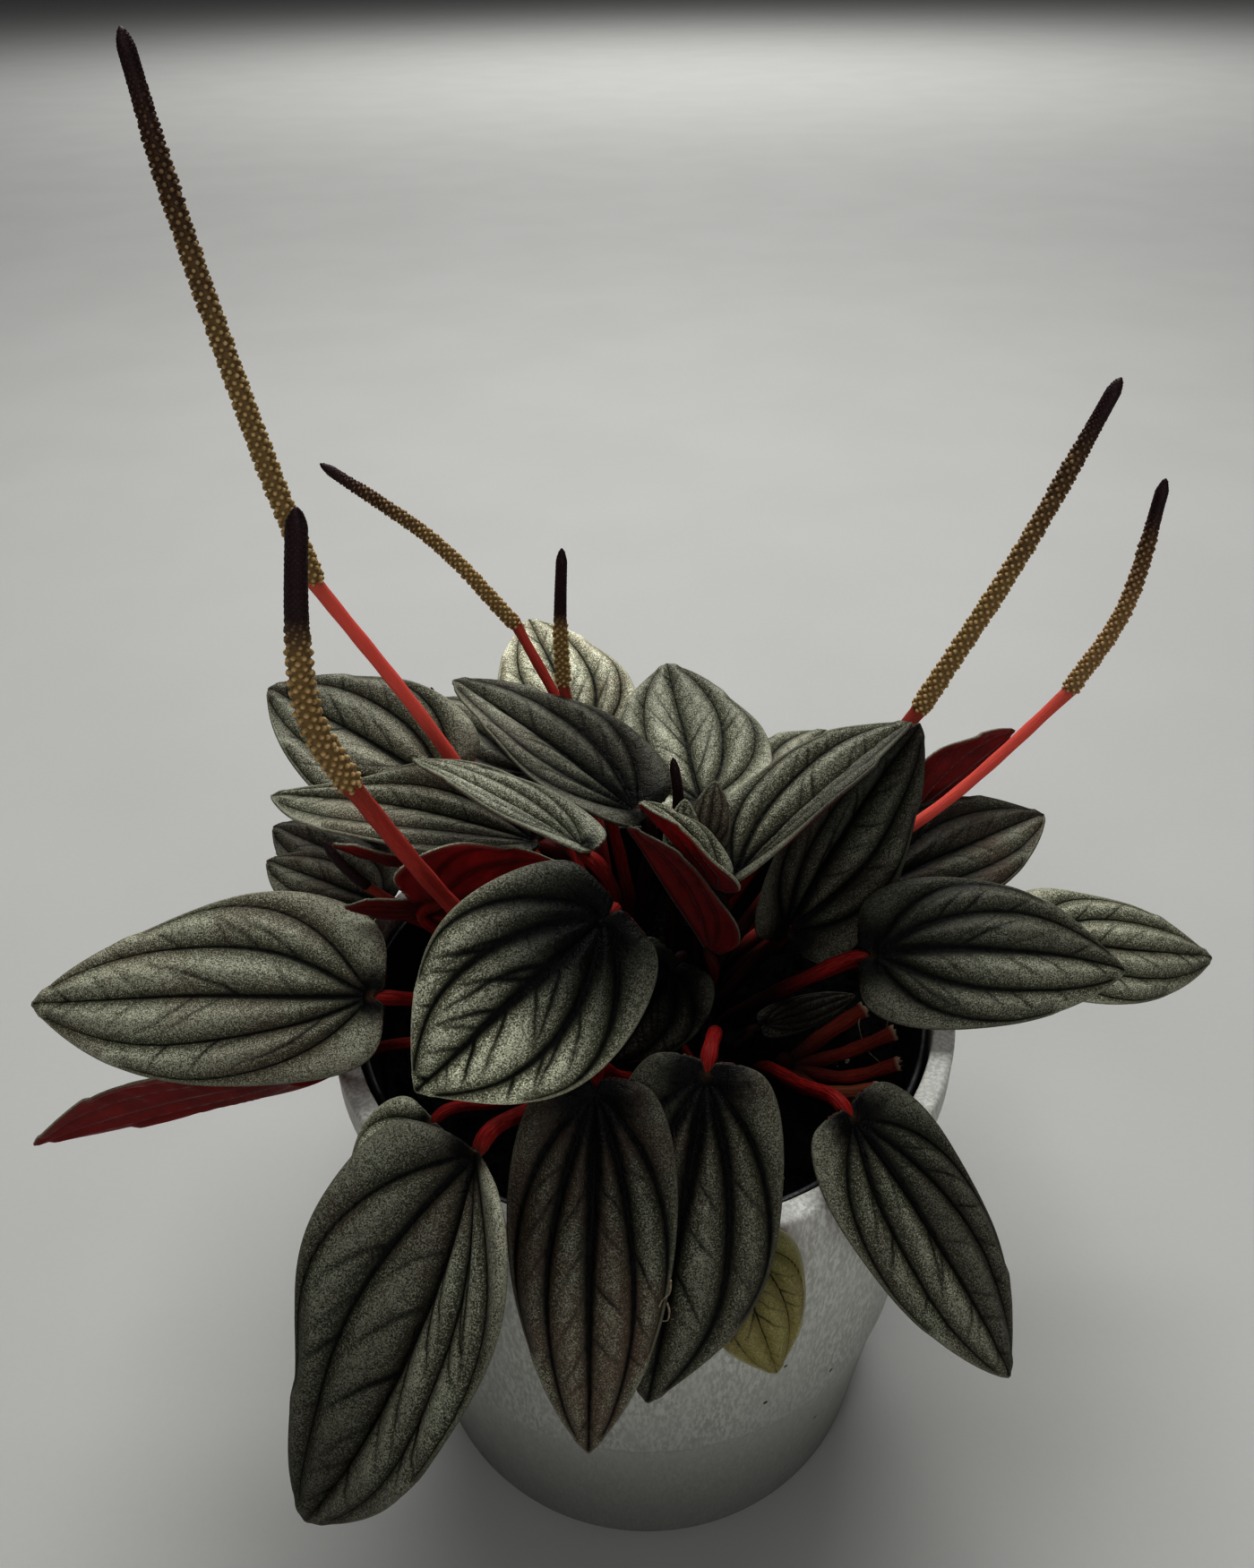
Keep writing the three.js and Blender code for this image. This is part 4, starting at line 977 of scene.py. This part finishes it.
def blade(leaf, seed):
    """The blade as a closed sheet with a rounded edge, with its veins as values on its points."""
    rows, columns = SMALL_GRID if leaf["small"] else LARGE_GRID
    chance = np.random.default_rng(seed)
    length = blade_frame(leaf)[-1]
    size = min(1.0, leaf["width"] / 26)
    spread = np.linspace(0, 1, rows)
    t = (0.45 * spread**2.2 + 0.55 * spread**1.15) * 0.997
    u = np.linspace(-1, 1, columns)
    t, u = np.meshgrid(t, u, indexing="ij")
    flat_x = length * (t - behind_stalk(leaf, t, np.abs(u)))
    flat_y = outline(leaf, t) * u * leaf["width"] / 2
    dark, halo_and_groove_shade, sunk, side_sunk = (np.zeros_like(t) for _ in range(4))
    for line, is_main, strength, wide, narrow in vein_lines(leaf, length, chance):
        away, reached = near_line(flat_x, flat_y, line)
        groove = (wide + (narrow - wide) * np.clip(reached, 0, 1) ** 0.7) * size
        groove = groove * (leaf["grooves"] if is_main else 1)
        fade = strength * (1 - (0.3 if is_main else 0.75) * reached**2)
        dark = np.maximum(dark, fade * np.exp(-0.7 * (away / groove) ** 1.6))
        # The halo: flesh greener beside each vein, partly the leaf's own colour and partly painted shade on
        # the groove sides.
        wide_halo = HALO_WIDTH * size * (1.0 if is_main else 0.45) * (1 - 0.5 * reached)
        halo_and_groove_shade = np.maximum(halo_and_groove_shade, fade * np.exp(-((away / wide_halo) ** 1.4)))
        if is_main:
            valley = QUILT_WIDTH * size * (0.55 + 0.45 * strength)
            sunk = np.maximum(sunk, fade * np.exp(-((away / valley) ** 1.3)))
        else:
            valley = SIDE_QUILT_WIDTH * size
            side_sunk = np.maximum(side_sunk, fade * np.exp(-((away / valley) ** 1.3)))
    edge = 1 - np.abs(u)
    margin = edge * outline(leaf, t) * leaf["width"] / 2
    from_base = np.hypot(flat_x, flat_y)
    foot = np.exp(-((from_base / ((2 + 5.5 * leaf["grooves"]) * size)) ** 1.5))
    dark = np.maximum(dark, 0.9 * foot)
    halo_and_groove_shade = np.maximum(halo_and_groove_shade * (0.75 + 0.4 * leaf["grooves"]), 1.1 * foot)
    calm = np.clip(t / 0.03, 0, 1)
    puff = QUILT_DEPTH * size * (0.5 - sunk) - SIDE_QUILT_DEPTH * size * side_sunk * (1 - sunk)
    rolled = 0.6 * size * np.exp(-((margin / 1.2) ** 2))
    middle = blade_sheet(leaf, t, u, (puff - rolled) * calm)
    normal = unit(np.cross(np.gradient(middle, axis=0), np.gradient(middle, axis=1)))
    normal *= np.where(normal @ blade_frame(leaf)[3] < 0, -1, 1)[..., None]
    thick = BLADE_THICKNESS / 2 * np.where(margin < 0.5, 0.8, 1.0)[..., None]
    upper = (middle + normal * thick).reshape(-1, 3)
    lower = (middle - normal * (thick + 0.3 * dark[..., None])).reshape(-1, 3)

    count = rows * columns
    grid = np.arange(count).reshape(rows, columns)
    loop = np.concatenate([grid[0], grid[1:, -1], grid[-1, -2::-1], grid[-2:0:-1, 0]])
    i, j = np.divmod(loop, columns)
    inside = grid[np.clip(i, 1, rows - 2), np.clip(j, 1, columns - 2)]
    middle = middle.reshape(-1, 3)
    rim = middle[loop] + unit(middle[loop] - middle[inside] + 1e-9) * BLADE_THICKNESS * 0.32
    here = grid[:-1, :-1].ravel()
    top = np.stack([here, here + columns, here + columns + 1, here + 1], -1)
    bottom = top[:, ::-1] + count
    following = np.roll(loop, -1)
    rim_here = 2 * count + np.arange(len(loop))
    rim_next = np.roll(rim_here, -1)
    upper_rim = np.stack([loop, following, rim_next, rim_here], -1)
    lower_rim = np.stack([rim_here, rim_next, following + count, loop + count], -1)
    quads = np.concatenate([top, upper_rim, lower_rim, bottom])
    look_of_face = np.arange(len(quads)) >= len(quads) - len(bottom)

    def on_blade(value, at_rim=1.0):
        """A value for each place on the sheet, put on its upper, lower and rim points."""
        value = value.reshape(count, -1).squeeze()
        return np.concatenate([value, value, value[loop] * at_rim])

    knot = 0.7 * np.clip(1.3 - from_base / (1.1 * size), 0, 1) * (leaf["notch"] > 1)
    at_edge = np.exp(-((margin / 0.35) ** 2)).ravel()
    values = {
        "vein": on_blade(dark, 0.5),
        "halo_and_groove_shade": on_blade(halo_and_groove_shade),
        "edge": np.concatenate([at_edge, at_edge, np.ones(len(loop))]),
        "knot": on_blade(knot),
        "leaf_place": on_blade(np.stack([flat_x + 17.0 * seed, flat_y, 0 * t], -1)),
        # The leaf's tone with its painted light and shade.
        "tone_and_painted_light": on_blade(tone_with_painted_light(leaf, from_base, length, t, u)),
        "brown": np.full(2 * count + len(loop), leaf["brown"]),
    }
    return np.concatenate([upper, lower, rim]), quads, look_of_face, values


def tone_with_painted_light(leaf, from_base, length, t, u):
    """How bright the flesh is painted: partly the leaf's own colour, and painted light and shade that
    darkens it towards the stalk and on one half, and brightens or darkens its tip, where told.
    """
    near = np.exp(-((from_base / (leaf["dusk_reach"] * length)) ** 4))
    half = np.clip(0.5 + 2.5 * u * np.sign(leaf["dark_half"]), 0, 1) * abs(leaf["dark_half"])
    towards_tip = t * t * (3 - 2 * t)
    lit = 1 + (leaf["tip_light"] - 1) * towards_tip
    return leaf["tone_and_painted_light"] * (1 - leaf["dusk"] * near) * (1 - half) * lit


def outward_faces(points, quads):
    """Faces turned so that the closed shape's volume is positive."""
    a, b, c, d = (points[quads[:, k]] for k in range(4))
    volume = (np.cross(a, b) * c).sum() + (np.cross(a, c) * d).sum()
    return quads if volume > 0 else quads[:, ::-1]


def stalk_feet(root):
    """Where a stalk stands: under the soil, and where it leaves it."""
    return [(*root, SOIL_TOP - HOLE_DEPTH + GAP), (*root, SOIL_TOP + 3)]


for number, one in enumerate(LEAVES):
    is_yellow = one["name"] == "leaf_yellow"
    looks = yellow_leaf if is_yellow else silver_leaf
    points, quads, look_of_face, values = blade(one, 100 + number)
    quads = outward_faces(points, quads)
    made = add_piece(one["name"] + "_blade", points, quads, looks, (), look_of_face, values)
    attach(made, "root")
    if not one["tucked"]:
        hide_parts(one["name"])

    base, along, side, face, length = blade_frame(one)
    thick = SMALL_STALK_RADIUS if one["small"] else STALK_RADIUS
    thick = TUCKED_STALK_RADIUS if one["tucked"] else thick
    under = 1.9 if one["notch"] > 1 else 2.8
    bends = [*stalk_feet(one["root"]), one["via"], base - 3 * along - under * face]
    bends.append(base + 1.6 * along - 0.6 * under * face)
    line, run = smooth_line(bends, 70)
    left = run[-1] - run
    girth = thick * (1 - 0.2 * run / run[-1]) * (1 + 0.1 * np.exp(-(((left - 3) / 3) ** 2)))
    girth = np.minimum(girth, 0.45 + 0.4 * left)
    girth = girth * (1 + 0.035 * np.sin(run * 0.8 + number))
    points, quads, caps = tube(line, girth, STALK_SIDES)
    pale = on_tube(0.6 * np.exp(-((left / 1.8) ** 2)), STALK_SIDES, 0, 0.6)
    # Painted shade darkens the stalk where it runs deep in the crown.
    values = stalk_values(run, STALK_SIDES, thick, 9.0 * number, painted_crown_shade(points), pale)
    made = add_piece(one["name"] + "_stalk", points, quads, [red_stalk], caps, values=values)
    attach(made, "root")
    if not one["tucked"]:
        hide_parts(one["name"])


# Flower spikes --------------------------------------------------------
# Rat-tail spikes on smooth red stalks. Hundreds of tiny round florets sit on them in slanting rows:
# open, pale and spread on the older olive part, and tight, scaly and maroon towards the tip.
SPIKE_STALK = 0.36
TAIL_SIDES = 20
FLORET_SPACING = 1.6
FLORET_RADIUS = 0.45
FLORET_HEIGHT = 0.55
SPIKE_OLIVE = (0.35, 0.24, 0.095)
SPIKE_BROWN = (0.07, 0.032, 0.016)
SPIKE_MAROON = (0.022, 0.0045, 0.006)
FLORET_CREAM = (0.62, 0.47, 0.23)
FLORET_PINK = (0.62, 0.36, 0.25)
SHUT_FLORET = (0.07, 0.02, 0.02)


def spike(name, root, via, thick, tail, young, pink, rosy=0.25):
    """One spike. young is the share towards the tip that is still maroon, pink tints its florets,
    and rosy is how far its stalk is painted salmon, as a glow of light shining through it."""
    known = {"name": name, "root": root, "via": via, "thick": thick, "tail": tail}
    return known | {"young": young, "pink": pink, "rosy": rosy}


SPIKES = [
    spike("spike_tall_left", (-7, 5), (-37, 22, 155), 3.8,
          [(-57, 23, 190), (-61, 23, 208), (-65, 23, 230), (-69, 23, 256), (-71, 23, 275)], 0.12, 0.1,
          rosy=0.9),
    spike("spike_front_left", (-10, -8), (-34, -21, 156), 4,
          [(-43, -28, 181), (-46.5, -31, 195), (-45.5, -33, 209), (-42.5, -34, 227)], 0.38, 0.3,
          rosy=0.35),
    spike("spike_back_left", (-4, 10), (-12, 40, 142), 3,
          [(-25, 56, 164), (-40, 56, 183), (-61, 56, 200)], 0.12, 0.1),
    spike("spike_back_middle", (-2, 7), (-10, 30, 136), 3,
          [(-15, 41, 158), (-15, 41, 172), (-14, 41, 188)], 0.5, 0.1),
    spike("spike_young_left", (-10, 17), (-28, 41, 127), 2.2,
          [(-41, 50, 141), (-42.5, 50, 147), (-43.5, 50, 153)], 1.0, 0.0),
    spike("spike_young_centre", (4, 2), (6, 6, 124), 2.4, [(7, 9, 147), (7, 9, 153), (6, 9, 161)], 1.0, 0.0),
    spike("spike_right", (12, 8), (32, 20, 130), 3.8,
          [(55, 30, 157), (71, 33, 189), (84, 36, 220)], 0.15, 0.3),
    spike("spike_far_right", (17, 16), (66, 32, 136), 3.4,
          [(87, 38, 156), (96, 41, 173), (99, 43, 199)], 0.2, 0.8, rosy=0.8),
    spike("spike_low_left", (-14, -1), (-34, -3, 128), 2.4,
          [(-50, -1, 140), (-54, -1, 145), (-57, -1, 151)], 1.0, 0.5),
]

spike_look = Look("flower_spike")
young = spike_look.named("young")
disc = spike_look.named("disc")
skin = spike_look.noise(1400, 3, 0.6)
blotch = spike_look.noise(330, 2, 0.6)
ripe = spike_look.plus(spike_look.named("ripe"), spike_look.times(blotch, 0.4))
body = spike_look.mix(spike_look.between(ripe, 0.3, 1.0), SPIKE_BROWN, SPIKE_OLIVE)
floret = spike_look.mix(spike_look.named("pink"), FLORET_CREAM, FLORET_PINK)
floret = spike_look.mix(spike_look.between(ripe, 0.3, 0.8, 0.75, 0.0), floret, SPIKE_BROWN)
gaps = spike_look.times(spike_look.between(disc, 0.0, 0.25, 1.0, 0.0), 0.45)
body = spike_look.mix(gaps, body, SPIKE_BROWN)
open_part = spike_look.mix(spike_look.between(disc, 0.35, 1.0), body, floret)
shut_part = spike_look.mix(spike_look.times(disc, 0.5), SPIKE_MAROON, SHUT_FLORET)
spike_look.set(
    Base_Color=spike_look.mix(young, open_part, shut_part),
    Roughness=spike_look.between(skin, 0.3, 0.7, 0.45, 0.7),
    Normal=spike_look.bump(skin, 0.5, 0.12),
)


def florets(line, run, girth, one, chance):
    """Small round knobs in slanting rows on a spike, as one set of points and faces."""
    forward, sideways, upward = line_frames(line)
    sides = 7
    shape = np.concatenate([ring_points((1.15, 1.0, 0.62), (-0.35, 0.35, 0.8), sides), [[0, 0, 1.0]]])
    discs = np.concatenate([np.repeat([0.0, 0.35, 0.9], sides), [1.0]])
    quads, fans = ring_faces(3, sides)
    # A floret's foot is sunk in the spike, so only its head is closed.
    head = np.minimum(fans[sides:], 3 * sides)
    points, place, ring = [], 0.5, 0
    values = {"disc": [], "young": [], "ripe": []}
    while place < run[-1] - 0.5:
        share = place / run[-1]
        youth = float(np.clip((share - (1 - one["young"])) / 0.12 + 0.5, 0, 1))
        k = min(max(int(np.searchsorted(run, place)), 1), len(run) - 1)
        blend = (place - run[k - 1]) / (run[k] - run[k - 1])
        centre = line[k - 1] + (line[k] - line[k - 1]) * blend
        radius = girth[k - 1] + (girth[k] - girth[k - 1]) * blend
        spacing = FLORET_SPACING * (1 - 0.5 * youth) * one["thick"] ** 0.5 / 1.95
        around = max(6, int(round(2 * math.pi * radius / spacing)))
        size = FLORET_RADIUS * spacing / FLORET_SPACING
        tall = FLORET_HEIGHT * (1 - 0.75 * youth) * spacing / FLORET_SPACING
        for j in range(around):
            turn = 2 * math.pi * (j + (ring % 2) / 2 + chance.uniform(-0.09, 0.09)) / around
            out = sideways[k] * math.cos(turn) + upward[k] * math.sin(turn)
            about = np.cross(forward[k], out)
            lift = tall * chance.uniform(0.75, 1.25)
            slide = chance.uniform(-0.1, 0.1)
            wide = size * chance.uniform(0.88, 1.1)
            local = shape @ np.stack([wide * forward[k], wide * about, lift * out])
            points.append(centre + forward[k] * slide + out * (radius * 0.98) + local)
            values["disc"].append(discs * chance.uniform(0.7, 1.0))
            values["young"].append(np.full(len(shape), youth))
            values["ripe"].append(np.full(len(shape), (1 - share) / (1 - one["young"] + 0.02)))
        place += spacing * 0.54
        ring += 1
    faces = [repeated(kind, len(points), len(shape)) for kind in (quads, head)]
    values = {key: np.concatenate(value) for key, value in values.items()}
    return np.concatenate(points), *faces, values


for number, one in enumerate(SPIKES):
    chance = np.random.default_rng(400 + number)
    tail = np.array(one["tail"], float)
    rise = unit(tail[0] - np.array(one["via"], float))
    line, run = smooth_line([*stalk_feet(one["root"]), one["via"], tail[0] + 2 * rise], 90)
    left = run[-1] - run
    flare = 1 + 0.15 * np.exp(-((left / 3) ** 2))
    girth = SPIKE_STALK * one["thick"] * (1 + 0.03 * np.sin(run * 0.7)) * flare
    points, quads, caps = tube(line, girth, STALK_SIDES)
    pale = on_tube(0.35 * np.exp(-((left / 6) ** 2)), STALK_SIDES, 0, 0.35)
    place = (run, STALK_SIDES, girth[0], 400 + 9.0 * number)
    # Painted shade darkens the stalk in the crown, and a salmon glow is painted on it for light shining
    # through.
    values = stalk_values(*place, painted_crown_shade(points), pale, rosy=one["rosy"])
    made = add_piece(one["name"] + "_stalk", points, quads, [red_stalk], caps, values=values)
    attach(made, "root")
    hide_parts(one["name"])

    line, run = smooth_line(tail, 160)
    share = run / run[-1]
    youth = np.clip((share - (1 - one["young"])) / 0.12 + 0.5, 0, 1)
    girth = one["thick"] / 2 * (1 - 0.3 * share) * (0.9 + 0.08 * youth)
    left = run[-1] - run
    girth = girth * np.sqrt(np.clip(left / 2.5, 0.02, 1)) * np.minimum(1, 0.6 + run / 3)
    points, quads, caps = tube(line, girth, TAIL_SIDES)
    values = {
        "disc": np.zeros(len(points)),
        "young": on_tube(youth, TAIL_SIDES, youth[0], youth[-1]),
        "ripe": on_tube((1 - share) / (1 - one["young"] + 0.02), TAIL_SIDES, 1, 0),
    }
    parts = [(points, quads, caps, values), florets(line, run, girth, one, chance)]
    points, quads, triangles, values = merged(parts)
    values["pink"] = np.full(len(points), one["pink"])
    made = add_piece(one["name"] + "_tail", points, quads, [spike_look.material], triangles, values=values)
    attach(made, "root")
    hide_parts(one["name"])


# Floor and light ------------------------------------------------------
# The pot stands on a wide sheet of pale paper. A large soft light hangs over it, another lights
# the paper far behind, two weaker ones stand in front, and the room itself is dim and even.
PAPER = (0.47, 0.47, 0.455)
PAPER_SHADE = (0.455, 0.455, 0.44)
PAPER_REACH = 9000
ROOM_LIGHT = 0.065
ROOM_TINT = (0.97, 0.98, 1.0)

paper = Look("pale_paper")
fibre = paper.noise(600, 3, 0.6)
paper.set(
    Base_Color=paper.mix(paper.between(paper.noise(9, 3, 0.5), 0.3, 0.7), PAPER_SHADE, PAPER),
    Roughness=paper.between(fibre, 0.3, 0.7, 0.7, 0.85),
    Normal=paper.bump(fibre, 0.15, 0.1),
)
corners = [(x * PAPER_REACH, y * PAPER_REACH, 0) for x, y in ((-1, -1), (1, -1), (1, 1), (-1, 1))]
floor = add_piece("floor", corners, [(0, 1, 2, 3)], [paper.material])


def soft_light(name, place, aim, size, power):
    """A square lamp of that size in metres, turned towards aim."""
    data = bpy.data.lights.new(name, "AREA")
    data.shape = "SQUARE"
    data.size = size
    data.energy = power
    lamp = bpy.data.objects.new(name, data)
    lamp.location = place
    heading = Vector(aim) - Vector(place)
    lamp.rotation_euler = heading.to_track_quat("-Z", "Y").to_euler()
    bpy.context.scene.collection.objects.link(lamp)
    return lamp


soft_light("overhead_light", (0.0, 0.5, 1.15), (0, 0.2, 0.05), 0.8, 8.0)
soft_light("far_light", (0.2, 3.2, 2.2), (0, 3.0, 0), 2.0, 60)
soft_light("front_light", (-0.25, -0.75, 0.9), (0, 0, 0.12), 0.4, 1.6)
soft_light("low_light", (0.4, -0.9, 0.3), (0, 0, 0.08), 0.35, 1.2)
world = bpy.data.worlds.new("room")
bpy.context.scene.world = world
world.use_nodes = True
backdrop = world.node_tree.nodes["Background"]
backdrop.inputs["Color"].default_value = (*ROOM_TINT, 1)
backdrop.inputs["Strength"].default_value = ROOM_LIGHT
bpy.context.scene.view_settings.view_transform = "Standard"
bpy.context.scene.view_settings.look = "High Contrast"


# Final update ---------------------------------------------------------
bpy.context.view_layer.update()
